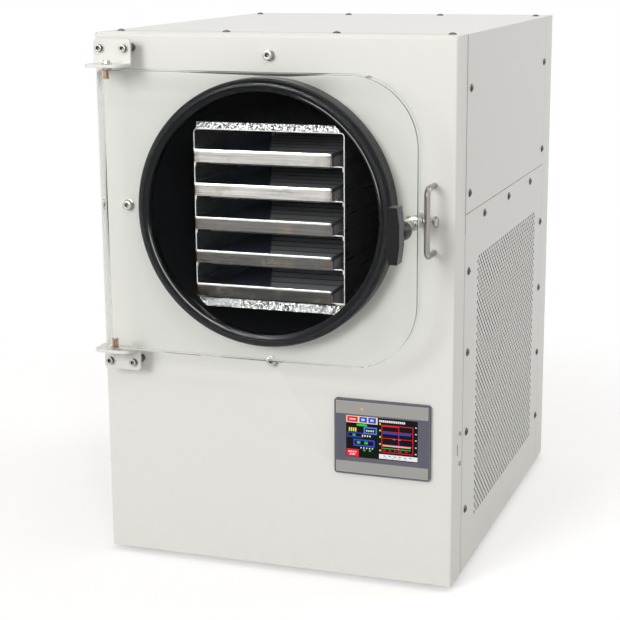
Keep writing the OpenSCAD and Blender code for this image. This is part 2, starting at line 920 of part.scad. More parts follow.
module door_outline() {
    translate([door_x0 + door_small_r, door_z0])
        square([door_x1 - door_x0 - door_corner_r - door_small_r, door_z1 - door_z0]);
    translate([door_x0, door_z0 + door_small_r])
        square([door_small_r + cut, door_z1 - door_z0 - 2 * door_small_r]);
    for (z = [door_z0 + door_small_r, door_z1 - door_small_r])
        translate([door_x0 + door_small_r, z]) circle(door_small_r);
    translate([door_x1 - door_corner_r - cut, door_z0 + door_corner_r])
        square([door_corner_r + cut, door_z1 - door_z0 - 2 * door_corner_r]);
    for (z = [door_z0 + door_corner_r, door_z1 - door_corner_r])
        translate([door_x1 - door_corner_r, z]) circle(door_corner_r);
}

module hinge_bushes() {
    color(copper) place() translate([pin_x, pin_y, 0]) {
        ring_z(door_z1 - bush_l, door_z1, bush_r, pin_r + turn_gap);
        ring_z(door_z0, door_z0 + bush_l, bush_r, pin_r + turn_gap);
    }
}

module hinge_washers() {
    color(zinc) place() translate([pin_x, pin_y, 0]) {
        ring_z(door_z1, door_z1 + hinge_washer_t, hinge_washer_r, pin_r + turn_gap);
        ring_z(door_z0 - hinge_washer_t, door_z0, hinge_washer_r, pin_r + turn_gap);
    }
}

// Bracket around the hinge bolt: an upright plate and a nose, its inner face at z = 0
module hinge_bracket() {
    difference() {
        union() {
            sheet_xz(bracket_y, bracket_t)
                round_rect(bracket_x - bracket_w / 2, bracket_x + bracket_w / 2,
                           0, bracket_h, bracket_r);
            linear_extrude(bracket_t) bracket_nose_outline();
        }
        translate([pin_x, pin_y, 0]) rod_z(-cut, bracket_t + cut, pin_r + layer_gap);
        for (dx = [-1, 1])
            translate([bracket_x + dx * bracket_screw_dx, 0, bracket_screw_rise])
                rod_y(bracket_y - cut, bracket_y + bracket_t + cut,
                      bracket_screw_r + layer_gap);
    }
}

module bracket_nose_outline() {
    y0 = -door_front - bracket_nose;
    x0 = bracket_x - bracket_w / 2;
    x1 = bracket_x + bracket_w / 2;
    translate([x0, y0 + bracket_nose_r])
        square([bracket_w, bracket_y + bracket_t - y0 - bracket_nose_r]);
    translate([x0 + bracket_nose_r, y0])
        square([bracket_w - 2 * bracket_nose_r, bracket_nose_r + cut]);
    for (x = [x0 + bracket_nose_r, x1 - bracket_nose_r])
        translate([x, y0 + bracket_nose_r]) circle(bracket_nose_r);
}

module upper_hinge_bracket() {
    color(paint) place() translate([0, 0, door_z1 + bracket_gap]) hinge_bracket();
}

module lower_hinge_bracket() {
    color(paint) place() translate([0, 0, door_z0 - bracket_gap])
        mirror([0, 0, 1]) hinge_bracket();
}

module bracket_points() {
    for (z = bracket_screw_heights, dx = [-1, 1])
        translate([bracket_x + dx * bracket_screw_dx, 0, z]) children();
}

module bracket_spacers() {
    color(dark_steel) place() bracket_points() difference() {
        rod_y(-spacer_l, 0, spacer_r);
        rod_y(-spacer_l - cut, cut, bracket_screw_r + layer_gap);
    }
}

module bracket_screws() {
    color(zinc) place() bracket_points() translate([0, bracket_y, 0])
        socket_screw(bracket_screw_r, bracket_t + spacer_l + 8, bracket_head_r,
                     bracket_head_h, bracket_screw_r);
}

// Flanged hex bolt through a bracket's nose into the door's bush
module hinge_bolts() {
    color(zinc) place() translate([pin_x, pin_y, 0]) {
        hinge_bolt(door_z1 + bracket_gap + bracket_t, 1);
        hinge_bolt(door_z0 - bracket_gap - bracket_t, -1);
    }
}

module hinge_bolt(z, up) {
    translate([0, 0, z]) mirror([0, 0, up < 0 ? 1 : 0]) {
        rod_z(-bracket_t - bracket_gap - bush_l + 1, hinge_flange_t, pin_r);
        rod_z(0, hinge_flange_t, hinge_flange_r);
        translate([0, 0, hinge_flange_t]) linear_extrude(hinge_bolt_head_h)
            hexagon(hinge_bolt_head_r);
    }
}

// Latch

module striker_bar() {
    leg_z = striker_span / 2;
    color(steel) place() translate([striker_x, 0, axis_z]) difference() {
        union() {
            for (s = [-1, 1]) translate([0, 0, s * leg_z])
                rod_y(striker_y + striker_bend, 0, striker_r);
            translate([0, striker_y, 0])
                rod_z(-leg_z + striker_bend, leg_z - striker_bend, striker_r);
            for (s = [0, 1]) mirror([0, 0, s])
                translate([0, striker_y + striker_bend, leg_z - striker_bend])
                    rotate([0, -90, 0]) rotate([0, 0, 180]) mirror([1, 0, 0])
                        rotate_extrude(angle = 90) translate([striker_bend, 0])
                            circle(striker_r);
        }
        for (s = [-1, 1]) translate([0, 0, s * leg_z])
            rod_y(-16, cut, striker_bolt_r);
    }
}

module latch_handle() {
    color(black_plastic) place() translate([latch_x, 0, axis_z]) difference() {
        union() {
            translate([0, hub_y1, 0]) rotate([90, 0, 0])
                cylinder(r1 = hub_r, r2 = hub_r_front, h = hub_l + cut);
            sheet_xz(grip_y0, grip_d) grip_outline();
        }
        rod_y(grip_y1 - grip_d / 3, hub_y1 + cut, latch_r);
    }
}

// Long octagon, widest in the middle and narrower towards both ends
module grip_outline() {
    h = grip_l / 2;
    polygon([
        [grip_w / 2, -h + grip_end_l], [grip_w / 2, h - grip_end_l],
        [grip_end_w / 2, h], [-grip_end_w / 2, h],
        [-grip_w / 2, h - grip_end_l], [-grip_w / 2, -h + grip_end_l],
        [-grip_end_w / 2, -h], [grip_end_w / 2, -h]
    ]);
}

// Shaft through the door, its front sleeve, and the collar that carries the pawl bolt
module latch_shaft() {
    color(zinc) place() translate([latch_x, 0, axis_z]) difference() {
        union() {
            rod_y(grip_y1 - grip_d / 3, collar_y1, latch_r);
            rod_y(hub_y1, sleeve_y1, sleeve_r);
            rod_y(collar_y0, collar_y1, collar_r);
        }
        translate([0, pawl_y, 0]) rod_x(-2 * collar_r, 2 * collar_r, pawl_r);
    }
}

module pawl_bolt() {
    color(zinc) place() translate([latch_x, pawl_y, axis_z]) {
        rod_x(-collar_r - pawl_nut_t, pawl_x1 - latch_x, pawl_r);
        translate([pawl_x1 - latch_x, 0, 0]) rotate([0, 90, 0])
            linear_extrude(pawl_head_t) hexagon(pawl_hex);
        translate([-collar_r - pawl_nut_t, 0, 0]) rotate([0, 90, 0])
            linear_extrude(pawl_nut_t) hexagon(pawl_hex);
    }
}

module pawl_washers() {
    color(zinc) place() translate([latch_x + collar_r, pawl_y, axis_z])
        for (i = [0 : 1]) translate([i * (pawl_washer_t + layer_gap), 0, 0]) difference() {
            rod_x(0, pawl_washer_t, pawl_washer_r - i);
            rod_x(-cut, pawl_washer_t + cut, pawl_r);
        }
}

// Screen and data port

module screen_bezel() {
    z0 = screen_z - bezel_h / 2;
    color(dark_steel) place() difference() {
        sheet_xz(-bezel_out, bezel_out)
            round_rect(screen_x - bezel_w / 2, screen_x + bezel_w / 2,
                       z0, z0 + bezel_h, bezel_r);
        sheet_xz(-bezel_out - cut, bezel_out + 2 * cut) display_window(0);
        translate([screen_x + lamp_x, 0, screen_z + lamp_z])
            rod_y(-bezel_out - cut, lamp_d - bezel_out, lamp_r);
    }
}

module display_window(grow) {
    translate([screen_x - display_w / 2 - grow,
               screen_z + display_rise - display_h / 2 - grow])
        square([display_w + 2 * grow, display_h + 2 * grow]);
}

module screen_panel() {
    color(rubber) place() sheet_xz(-bezel_out / 2 - display_t, display_t)
        display_window(-layer_gap / 2);
}

module status_lamp() {
    color(zinc) place() translate([screen_x + lamp_x, 0, screen_z + lamp_z])
        rod_y(-bezel_out - lamp_out, lamp_d - bezel_out, lamp_r);
}

module screen_housing() {
    inset = screen_cut_in + housing_in;
    color(black_plastic) place() difference() {
        union() {
            sheet_xz(0, housing_d)
                round_rect(screen_x - bezel_w / 2 + inset, screen_x + bezel_w / 2 - inset,
                           screen_z - bezel_h / 2 + inset, screen_z + bezel_h / 2 - inset,
                           bezel_r - housing_in);
            sheet_xz(-bezel_out / 2, bezel_out / 2 + cut) display_window(-layer_gap);
        }
        for (dx = [-30, 0, 30])
            translate([screen_x + dx, housing_d - 8, screen_z - 20]) rod_z(-40, 60, 3);
    }
}

// Socket behind the slot in the front panel's right return, on its mounting plate
module data_port() {
    x1 = half_w - sheet_t;
    color(dark_steel) place() difference() {
        union() {
            box(x1 - port_wall, x1, port_y - port_slot_w / 2 - 3,
                port_y + port_ear_y + 5, port_z - port_ear_h / 2, port_z + port_ear_h / 2);
            box(x1 - port_body_d, x1, port_y - port_slot_w / 2 - port_wall,
                port_y + port_slot_w / 2 + port_wall, port_z - port_slot_h / 2 - port_wall,
                port_z + port_slot_h / 2 + port_wall);
        }
        box(x1 - port_body_d + port_wall, x1 + cut, port_y - port_slot_w / 2,
            port_y + port_slot_w / 2, port_z - port_slot_h / 2, port_z + port_slot_h / 2);
        for (dz = [-1, 1]) translate([0, port_y + port_ear_y, port_z + dz * port_screw_dz])
            rod_x(x1 - port_wall - cut, x1 + cut, port_screw_r);
    }
}

module port_screws() {
    color(zinc) place() for (dz = [-1, 1])
        translate([half_w, port_y + port_ear_y, port_z + dz * port_screw_dz]) difference() {
            union() {
                rod_x(-6, port_head_h / 2, port_screw_r);
                rod_x(0, port_head_h, port_head_r);
            }
            translate([port_head_h / 2, -port_head_r, -screw_slot_w / 4])
                cube([port_head_h, 2 * port_head_r, screw_slot_w / 2]);
        }
}

// Refrigeration bay

module compressor() {
    color(rubber) place() translate([can_x, can_y, floor_z]) {
        rotate_extrude() union() {
            translate([0, can_foot]) square([can_r, can_h]);
            intersection() {
                translate([0, can_foot + can_h + can_dome - 2 * can_r])
                    circle(2 * can_r);
                translate([0, can_foot]) square([can_r, can_h + can_dome]);
            }
        }
        for (a = [45 : 90 : 315]) rotate([0, 0, a]) translate([can_r - 6, -9, 0])
            cube([20, 18, can_foot + 3]);
        translate([0, 0, can_stub_z - floor_z])
            rod_x(can_r - 6, can_r + stub_out, pipe_r + 1);
        translate([can_top_stub, 0, 0])
            rod_z(can_h, can_top_z - floor_z, pipe_r + 1);
    }
}

// Finned block: upright fins on one level tube that turns back and forth
module condenser() {
    color(steel) place() translate([condenser_x, 0, 0]) union() {
        box(-condenser_t / 2 + fin_groove, condenser_t / 2 - fin_groove, condenser_y0,
            condenser_y0 + fins * fin_pitch + fin_t, condenser_z0, condenser_z1);
        for (i = [0 : fins]) translate([0, condenser_y0 + i * fin_pitch, 0])
            box(-condenser_t / 2, condenser_t / 2, 0, fin_t, condenser_z0, condenser_z1);
        for (j = [0 : condenser_rows - 1]) translate([0, 0, condenser_row_z(j)])
            rod_y(tube_y0, tube_y1, condenser_tube_r);
        for (j = [0 : condenser_rows - 2])
            translate([0, j % 2 == 0 ? tube_y0 : tube_y1,
                       (condenser_row_z(j) + condenser_row_z(j + 1)) / 2])
                rotate([j % 2 == 0 ? 180 : 0, 0, 0]) return_bend();
        for (y = [condenser_y0, condenser_y0 + fins * fin_pitch])
            box(-condenser_t / 2, condenser_t / 2, y, y + fin_t, floor_z, condenser_z0 + cut);
    }
}

function condenser_row_z(j) =
    condenser_z0 + (j + 0.5) * (condenser_z1 - condenser_z0) / condenser_rows;

// Half ring of tube that bulges towards +Y
module return_bend() {
    rotate([0, 90, 0]) rotate_extrude(angle = 180)
            translate([(condenser_z1 - condenser_z0) / condenser_rows / 2, 0])
                circle(condenser_tube_r);
}

// Pipes from the compressor to the condenser, and up to the coil and back
module refrigerant_pipes() {
    coil_end_z = axis_z - sqrt(foam_r1 * foam_r1 - pipe_x * pipe_x) - 1;
    color(copper) place() {
        pipe([[can_x + can_r + stub_out, can_y, can_stub_z],
              [condenser_x, can_y, can_stub_z],
              [condenser_x, can_y, condenser_row_z(condenser_rows - 1)],
              [condenser_x, tube_y1, condenser_row_z(condenser_rows - 1)]]);
        pipe([[condenser_x, tube_y1, condenser_row_z(0)],
              [condenser_x, pipe_y, condenser_row_z(0)],
              [pipe_x, pipe_y, condenser_row_z(0)], [pipe_x, pipe_y, coil_end_z]]);
        pipe([[can_x + can_top_stub, can_y, can_top_z],
              [can_x + can_top_stub, can_y, can_top_z + 40],
              [can_x + can_top_stub, pipe_y, can_top_z + 40],
              [-pipe_x, pipe_y, can_top_z + 40], [-pipe_x, pipe_y, coil_end_z]]);
    }
}

// Round pipe along straight runs that follow the axes, with a ball at each turn
module pipe(points) {
    for (i = [0 : len(points) - 2]) {
        run = points[i + 1] - points[i];
        translate(points[i]) {
            if (run[0] != 0) rod_x(min(0, run[0]), max(0, run[0]), pipe_r);
            if (run[1] != 0) rod_y(min(0, run[1]), max(0, run[1]), pipe_r);
            if (run[2] != 0) rod_z(min(0, run[2]), max(0, run[2]), pipe_r);
            if (i > 0) sphere(pipe_r);
        }
    }
}

// Plate with a round duct, standing on the base pan, with three arms for the motor
module fan_shroud() {
    duct_r = fan_r + fan_tip_gap;
    x1 = condenser_x - condenser_t / 2;
    color(dark_steel) place() translate([0, fan_y, fan_z]) difference() {
        union() {
            box(x1 - shroud_t, x1, condenser_y0 - fan_y, condenser_y1 - fan_y,
                floor_z - fan_z, condenser_z1 - fan_z);
            rod_x(fan_x - 12, x1, duct_r + shroud_t);
            for (a = [30 : 120 : 270]) rotate([a, 0, 0])
                box(fan_x - 22, fan_x - 12, -6, 6, motor_r + layer_gap - 2, duct_r + shroud_t);
            rod_x(fan_x - 22, fan_x - 12, motor_r + 4);
        }
        rod_x(fan_x - 12, x1 + cut, duct_r);
        rod_x(fan_x - 22 - cut, fan_x - 12 + cut, motor_r);
    }
}

module fan_motor() {
    color(dark_steel) place() translate([fan_x, fan_y, fan_z]) {
        rod_x(-motor_l - 14, -14, motor_r);
        rod_x(-16, 12, motor_shaft_r);
    }
}

module fan_blades() {
    color(black_plastic) place() translate([fan_x, fan_y, fan_z]) difference() {
        union() {
            rod_x(-9, 12, fan_hub_r);
            for (i = [0 : fan_blades_n - 1]) rotate([i * 360 / fan_blades_n, 0, 0])
                intersection() {
                    rotate([0, 0, fan_blade_tilt])
                        translate([-fan_blade_t / 2, -18, fan_hub_r - 4])
                            cube([fan_blade_t, 36, fan_r]);
                    rod_x(-12, 14, fan_r);
                }
        }
        rod_x(-20, 20, motor_shaft_r + turn_gap);
    }
}

// Closed case with a row of vent slots pressed into its outer side
module power_supply() {
    x0 = -inner_x + 12;
    color(steel) place() difference() {
        box(x0, x0 + supply_w, supply_y, supply_y + supply_d, floor_z, floor_z + supply_h);
        for (i = [0 : supply_slots - 1]) translate([0, supply_y + (i + 1) * 13, 0])
            box(x0 - cut, x0 + supply_slot_d, 0, 6, floor_z + 20, floor_z + supply_h - 20);
    }
}

// Fittings at the back

module vacuum_port() {
    color(steel) place() translate([vacuum_x, 0, vacuum_z]) difference() {
        union() {
            rod_y(drum_y1 - drum_end_t, back_most, vacuum_r);
            rod_y(cabinet_d, cabinet_d + 5, vacuum_r + 7);
            translate([0, cabinet_d + 5, 0]) rotate([-90, 0, 0]) linear_extrude(12)
                hexagon(vacuum_r + 5);
        }
        rod_y(drum_y1 - drum_end_t - cut, back_most + cut, vacuum_bore_r);
    }
}

module drain_valve() {
    color(copper) place() translate([drain_x, 0, drain_z]) difference() {
        union() {
            rod_y(drum_y1 - drum_end_t, cabinet_d + drain_out, drain_r);
            rod_y(cabinet_d + 0.3, cabinet_d + 4, drain_r + 5);
            rod_y(cabinet_d + 10, cabinet_d + 30, valve_r);
            translate([0, cabinet_d + 20, 0]) rod_z(0, valve_r + 6, valve_stem_r);
        }
        rod_y(drum_y1 - drum_end_t - cut, cabinet_d + 14, drain_bore_r);
        rod_y(cabinet_d + 26, cabinet_d + drain_out + cut, drain_bore_r);
    }
}

// Lever across the valve, closed, with its hub on the stem
module drain_lever() {
    color([0.15, 0.3, 0.6]) place()
        translate([drain_x, cabinet_d + 20, drain_z + valve_r + body_gap]) difference() {
            union() {
                rod_z(0, lever_t + 1, lever_w / 2);
                linear_extrude(lever_t) round_rect(-lever_w / 2, lever_l, -lever_w / 2,
                                                   lever_w / 2, lever_w / 2 - layer_gap);
            }
            rod_z(-cut, lever_t + 2, valve_stem_r + turn_gap);
        }
}

// Moulded inlet for the mains lead, with the rocker's well above its recess
module power_inlet() {
    color(black_plastic) place() translate([inlet_x, cabinet_d, inlet_z]) {
        difference() {
            union() {
                box(-inlet_w / 2, inlet_w / 2, -inlet_d, 0, -inlet_h / 2, inlet_h / 2);
                sheet_xz(0, 3) round_rect(-inlet_w / 2 - inlet_flange,
                    inlet_w / 2 + inlet_flange, -inlet_h / 2 - 3, inlet_h / 2 + 3, 3);
            }
            box(-recess_w / 2, recess_w / 2, 3 - recess_d, 3 + cut,
                socket_dz - recess_h / 2, socket_dz + recess_h / 2);
            box(-rocker_w / 2 - body_gap, rocker_w / 2 + body_gap, 3 - recess_d, 3 + cut,
                rocker_dz - rocker_h / 2 - 1.5, rocker_dz + rocker_h / 2 + 1.5);
        }
        for (dx = [-7, 0, 7])
            box(dx - blade_w / 2, dx + blade_w / 2, 3 - recess_d - cut, 3 - recess_d + blade_out,
                socket_dz - blade_l / 2 + (dx == 0 ? -3 : 2),
                socket_dz + blade_l / 2 + (dx == 0 ? -3 : 2));
        for (s = [-1, 1]) translate([0, -4, rocker_dz])
            rod_x(s > 0 ? rocker_w / 2 - 2 : -rocker_w / 2 - 2 * body_gap,
                  s > 0 ? rocker_w / 2 + 2 * body_gap : -rocker_w / 2 + 2, 1.5);
    }
}

// Rocker tipped to off about the pins in its well
module switch_rocker() {
    color(black_plastic) place() translate([inlet_x, cabinet_d - 4, inlet_z + rocker_dz])
        rotate([rocker_tilt, 0, 0]) difference() {
            intersection() {
                box(-rocker_w / 2, rocker_w / 2, -6, 12, -rocker_h / 2, rocker_h / 2);
                difference() {
                    rod_x(-rocker_w, rocker_w, rocker_h / 2 + 0.5);
                    translate([0, 24, 0]) rod_x(-rocker_w, rocker_w, rocker_r + 2);
                }
            }
            rod_x(-rocker_w / 2 - cut, -rocker_w / 2 + 2.5, 1.55);
            rod_x(rocker_w / 2 - 2.5, rocker_w / 2 + cut, 1.55);
        }
}

// Generic three-slot outlet for the vacuum pump
module pump_outlet() {
    depth = 24;
    inner_w = outlet_w - 2 * inlet_flange;
    color(black_plastic) place() translate([outlet_x, cabinet_d, inlet_z]) difference() {
        union() {
            box(-inner_w / 2, inner_w / 2, -depth, 0, -inner_w / 2, inner_w / 2);
            sheet_xz(0, 4) round_rect(-outlet_w / 2, outlet_w / 2, -outlet_h / 2,
                                      outlet_h / 2, 4);
        }
        for (s = [-1, 1])
            box(s * 6.5 - 1, s * 6.5 + 1, -12, 4 + cut, -1, 7);
        translate([0, 0, -7]) rod_y(-12, 4 + cut, 2.6);
    }
}

// Fasteners

module panel_screws() {
    color(dark_steel) place() {
        for (p = top_points) translate([p[0], p[1], cabinet_h]) sheet_screw();
        both_sides() for (p = side_points)
            translate([half_w, p[0], p[1]]) rotate([0, 90, 0]) sheet_screw();
    }
}

module flange_screws() {
    color(zinc) place_axis() for (a = [0 : 90 : 270])
        rotate([0, a, 0]) translate([0, 0, flange_screw_r]) {
            difference() {
                rod_y(-flange_washer_t, 0, flange_washer_r);
                rod_y(-flange_washer_t - cut, cut, flange_bolt_r);
            }
            translate([0, -flange_washer_t, 0])
                socket_screw(flange_bolt_r, flange_washer_t + flange_y + flange_t + 3,
                             flange_head_r, flange_head_h, flange_head_r / 2);
        }
}

base_pan();
feet();
front_panel();
top_panel();
right_upper_panel();
right_vent_panel();
left_upper_panel();
left_vent_panel();
back_panel();
mid_deck();
drum_cradles();
chamber_drum();
drum_end();
mouth_flange();
door_gasket();
insulation_jacket();
evaporator_coil();
rack_frame();
rack_shelves();
heater_pads();
foil_pads();
tray(0);  // tray_1
tray(1);  // tray_2
tray(2);  // tray_3
tray(3);  // tray_4
tray(4);  // tray_5
screen_bezel();
screen_panel();
status_lamp();
screen_housing();
data_port();
port_screws();
upper_hinge_bracket();
lower_hinge_bracket();
bracket_spacers();
bracket_screws();
hinge_bolts();
striker_bar();
compressor();
condenser();
refrigerant_pipes();
fan_shroud();
fan_motor();
fan_blades();
power_supply();
vacuum_port();
drain_valve();
drain_lever();
power_inlet();
pump_outlet();
switch_rocker();
panel_screws();
flange_screws();
door_plate();
hinge_bushes();
hinge_washers();
latch_handle();
latch_shaft();
pawl_bolt();
pawl_washers();
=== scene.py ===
"""Freeze dryer with a clear door: finishes, fine pieces, light and camera."""

import json
import math

import bmesh
import bpy
from mathutils import Matrix, Vector, noise

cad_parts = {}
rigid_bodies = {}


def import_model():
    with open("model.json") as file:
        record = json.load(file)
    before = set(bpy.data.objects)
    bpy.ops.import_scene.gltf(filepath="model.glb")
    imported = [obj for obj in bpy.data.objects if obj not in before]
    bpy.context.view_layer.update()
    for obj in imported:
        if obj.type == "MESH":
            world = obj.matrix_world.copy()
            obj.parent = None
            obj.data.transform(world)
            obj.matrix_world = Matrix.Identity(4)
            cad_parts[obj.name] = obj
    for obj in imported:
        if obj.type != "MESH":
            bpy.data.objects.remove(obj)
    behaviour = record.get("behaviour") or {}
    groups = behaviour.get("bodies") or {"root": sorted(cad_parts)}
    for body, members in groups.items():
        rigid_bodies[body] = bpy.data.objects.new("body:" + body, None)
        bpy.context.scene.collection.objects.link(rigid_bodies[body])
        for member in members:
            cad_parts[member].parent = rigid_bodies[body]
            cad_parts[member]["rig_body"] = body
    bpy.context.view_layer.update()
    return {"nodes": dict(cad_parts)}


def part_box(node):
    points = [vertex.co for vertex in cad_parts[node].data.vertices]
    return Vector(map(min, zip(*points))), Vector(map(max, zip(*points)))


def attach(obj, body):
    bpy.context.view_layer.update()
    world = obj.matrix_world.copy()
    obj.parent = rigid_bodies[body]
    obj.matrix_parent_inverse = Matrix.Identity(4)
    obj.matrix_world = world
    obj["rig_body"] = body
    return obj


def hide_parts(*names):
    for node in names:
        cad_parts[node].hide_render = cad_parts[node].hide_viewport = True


bl_info = {
    "name": "Freeze Dryer",
    "version": (1, 0, 0),
    "blender": (4, 5, 0),
    "location": "3D View > Sidebar > Freeze Dryer",
    "description": "Builds the freeze dryer's finishes, fine pieces and studio",
    "category": "Object",
}

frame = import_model()


def centre_of(node):
    """Middle of a CAD node's box."""
    low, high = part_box(node)
    return (low + high) / 2


# ---------------------------------------------------------------- settings


def length_setting(name, description, default, least=0.0):
    return bpy.props.FloatProperty(name=name, description=description, default=default,
                                   min=least, unit="LENGTH")


def colour_setting(name, description, default):
    return bpy.props.FloatVectorProperty(
        name=name, description=description, default=default, subtype="COLOR", size=3,
        min=0.0, max=1.0)


def angle_setting(name, description, default):
    return bpy.props.FloatProperty(name=name, description=description, default=default,
                                   subtype="ANGLE")


def light_setting(name, description, default):
    return bpy.props.FloatProperty(name=name, description=description, default=default,
                                   min=0.0)


class SizeSettings(bpy.types.PropertyGroup):
    """Small sizes of the finished pieces."""

    sheet_edge: length_setting(
        "Sheet edge", "Softened edge of the painted sheet metal", 0.00035)
    door_edge: length_setting("Door edge", "Polished chamfer around the clear door", 0.0009)
    grip_edge: length_setting("Grip edge", "Rounding of the moulded grip", 0.0026)
    grip_depth: length_setting("Grip depth", "Depth of the handle's grip", 0.0225, 0.001)
    grip_slim: bpy.props.FloatProperty(
        name="Grip slimness", description="Share of the grip's width that is kept",
        default=0.86, min=0.5, max=1.0)
    bezel_edge: length_setting("Bezel edge", "Chamfer around the screen's bezel", 0.0022)
    foil_cell: length_setting(
        "Foil cell", "Distance between creases in the foil pads", 0.0022, 0.001)
    foil_depth: length_setting("Foil depth", "Depth of the foil's creases", 0.0011)


class ColourSettings(bpy.types.PropertyGroup):
    """Colours of the finishes."""

    paint: colour_setting("Paint", "Powder coat of the cabinet", (0.79, 0.775, 0.73))
    rubber: colour_setting("Rubber", "Gasket and feet", (0.0036, 0.0038, 0.0046))
    steel: colour_setting("Steel", "Bare steel of the rack and trays", (0.62, 0.60, 0.57))
    zinc: colour_setting("Zinc", "Plated bolts and washers", (0.36, 0.385, 0.395))
    bronze: colour_setting("Bronze", "Hinge bushes", (0.52, 0.33, 0.22))
    bezel: colour_setting("Bezel", "Edge of the screen's bezel", (0.10, 0.10, 0.125))
    band: colour_setting(
        "Band", "Pale bands above and below the display", (0.34, 0.33, 0.31))
    panel: colour_setting(
        "Display surround", "Slate panel around the display", (0.088, 0.088, 0.125))


class StageSettings(bpy.types.PropertyGroup):
    """Camera and light."""

    azimuth: angle_setting("Azimuth", "Camera's turn about the object", 0.3402)
    elevation: angle_setting("Elevation", "Camera's tilt down", 0.2278)
    roll: angle_setting("Roll", "Camera's roll", -0.0077)
    place: bpy.props.FloatVectorProperty(
        name="Camera place", description="Camera's place", subtype="TRANSLATION",
        size=3, default=(0.75224, -2.23892, 0.86952))
    lens: bpy.props.FloatProperty(
        name="Lens", description="Focal length on a 36 mm sensor", default=91.43, min=1.0)
    key_power: light_setting("Key light", "Power of the large front lamp", 214.0)
    top_power: light_setting("Top light", "Power of the overhead lamp", 12.0)
    side_power: light_setting("Side light", "Power of the right-hand lamp", 25.0)
    spark_power: light_setting(
        "Spark light", "Power of the small lamp that lights the gasket's lip", 10.0)
    fill_power: light_setting("Fill light", "Power of the low front right lamp", 19.0)
    ambient: light_setting("Ambient", "Strength of the light from all round", 0.55)


# ---------------------------------------------------------------- mesh helpers

WELD_REACH = 2e-6  # joins the corners of a CAD mesh's loose triangles
FLAT_TURN = math.radians(0.4)  # faces that turn less are one flat face
CRISP_TURN, CRISP_AREA = math.radians(6.0), 0.00015
SOCKET_LIP, HEAD_DEPTH, WASHER_DEPTH = 0.0004, 0.008, 0.0022  # from a screw's front


def broad_creases(bm):
    """Edges between a broad flat face and its softened edge, kept crisp."""
    return [e for e in bm.edges if e.is_manifold and e.calc_face_angle(0.0) > CRISP_TURN
            and max(face.calc_area() for face in e.link_faces) > CRISP_AREA]


def finish_mesh(bm, name, materials, body, angle=35.0, creases=()):
    """Makes an object of a bmesh, smooth up to an angle, riding on a body."""
    limit = math.radians(angle)
    for face in bm.faces:
        face.smooth = True
    for edge in bm.edges:
        edge.smooth = len(edge.link_faces) == 2 and edge.calc_face_angle(0.0) < limit
    for edge in creases:
        edge.smooth = False
    mesh = bpy.data.meshes.new(name)
    bm.to_mesh(mesh)
    bm.free()
    for material in materials:
        mesh.materials.append(material)
    obj = bpy.data.objects.new(name, mesh)
    bpy.context.scene.collection.objects.link(obj)
    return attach(obj, body)


def merged_copy(*nodes):
    """A bmesh of CAD nodes with their loose triangles joined into flat faces."""
    bm = bmesh.new()
    for node in nodes:
        bm.from_mesh(frame["nodes"][node].data)
    bmesh.ops.remove_doubles(bm, verts=bm.verts, dist=WELD_REACH)
    bmesh.ops.dissolve_limit(bm, angle_limit=FLAT_TURN, verts=bm.verts, edges=bm.edges,
                             use_dissolve_boundaries=False)
    return bm


def soften(bm, width, segments, angle, shortest):
    """Bevels the edges that turn by more than an angle."""
    limit = math.radians(angle)
    edges = [e for e in bm.edges if e.is_manifold and e.calc_face_angle(0.0) > limit
             and e.calc_length() > shortest]
    bmesh.ops.bevel(bm, geom=edges, offset=width, offset_type="OFFSET", affect="EDGES",
                    segments=segments, profile=0.5, material=-1, clamp_overlap=True)


def softened(name, material, nodes, width, segments=2, angle=30.0, extra=(),
             choose=None, shortest=0.0):
    """A copy of CAD nodes with soft edges, standing for them."""
    bm = merged_copy(*nodes)
    if width:
        soften(bm, width, segments, angle, shortest)
    if choose:
        choose(bm)
    creases = broad_creases(bm)
    bmesh.ops.triangulate(bm, faces=[f for f in bm.faces if len(f.verts) > 4])
    body = frame["nodes"][nodes[0]]["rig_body"]
    obj = finish_mesh(bm, name, [material, *extra], body, creases=creases)
    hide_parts(*nodes)
    return obj


def islands(bm):
    """The separate lumps of a mesh, each as a set of its faces."""
    left = set(bm.faces)
    while left:
        lump, edge_faces = set(), [next(iter(left))]
        while edge_faces:
            face = edge_faces.pop()
            if face in lump:
                continue
            lump.add(face)
            edge_faces += [other for edge in face.edges for other in edge.link_faces]
        left -= lump
        yield lump


def paint_socket_shade(reach, ring=False):
    """A rule that gives the second finish, as painted shade, to the sockets of screws along
    Y, and with ring also to the rings under their heads as painted contact shadow.
    """
    def choose(bm):
        for lump in islands(bm):
            spots = [vert.co for face in lump for vert in face.verts]
            front = min(co.y for co in spots)
            middle_x = (min(co.x for co in spots) + max(co.x for co in spots)) / 2
            middle_z = (min(co.z for co in spots) + max(co.z for co in spots)) / 2
            for face in lump:
                at = face.calc_center_median()
                away = math.hypot(at.x - middle_x, at.z - middle_z)
                socket = away < reach and front + SOCKET_LIP < at.y < front + HEAD_DEPTH
                washer_shade = ring and away > reach and at.y > front + WASHER_DEPTH
                if socket or washer_shade:
                    face.material_index = 1
    return choose


def block(bm, low, high, index):
    """A closed box between two corners, added to a bmesh."""
    low, high = Vector(low), Vector(high)
    turn = Matrix.Translation((low + high) / 2) @ Matrix.Diagonal((*(high - low), 1.0))
    made = bmesh.ops.create_cube(bm, size=1.0, matrix=turn)
    for face in {face for vert in made["verts"] for face in vert.link_faces}:
        face.material_index = index


def paint_node(node, material):
    """Gives a CAD node its finish."""
    slots = frame["nodes"][node].data.materials
    slots.clear()
    slots.append(material)


# ---------------------------------------------------------------- node helpers


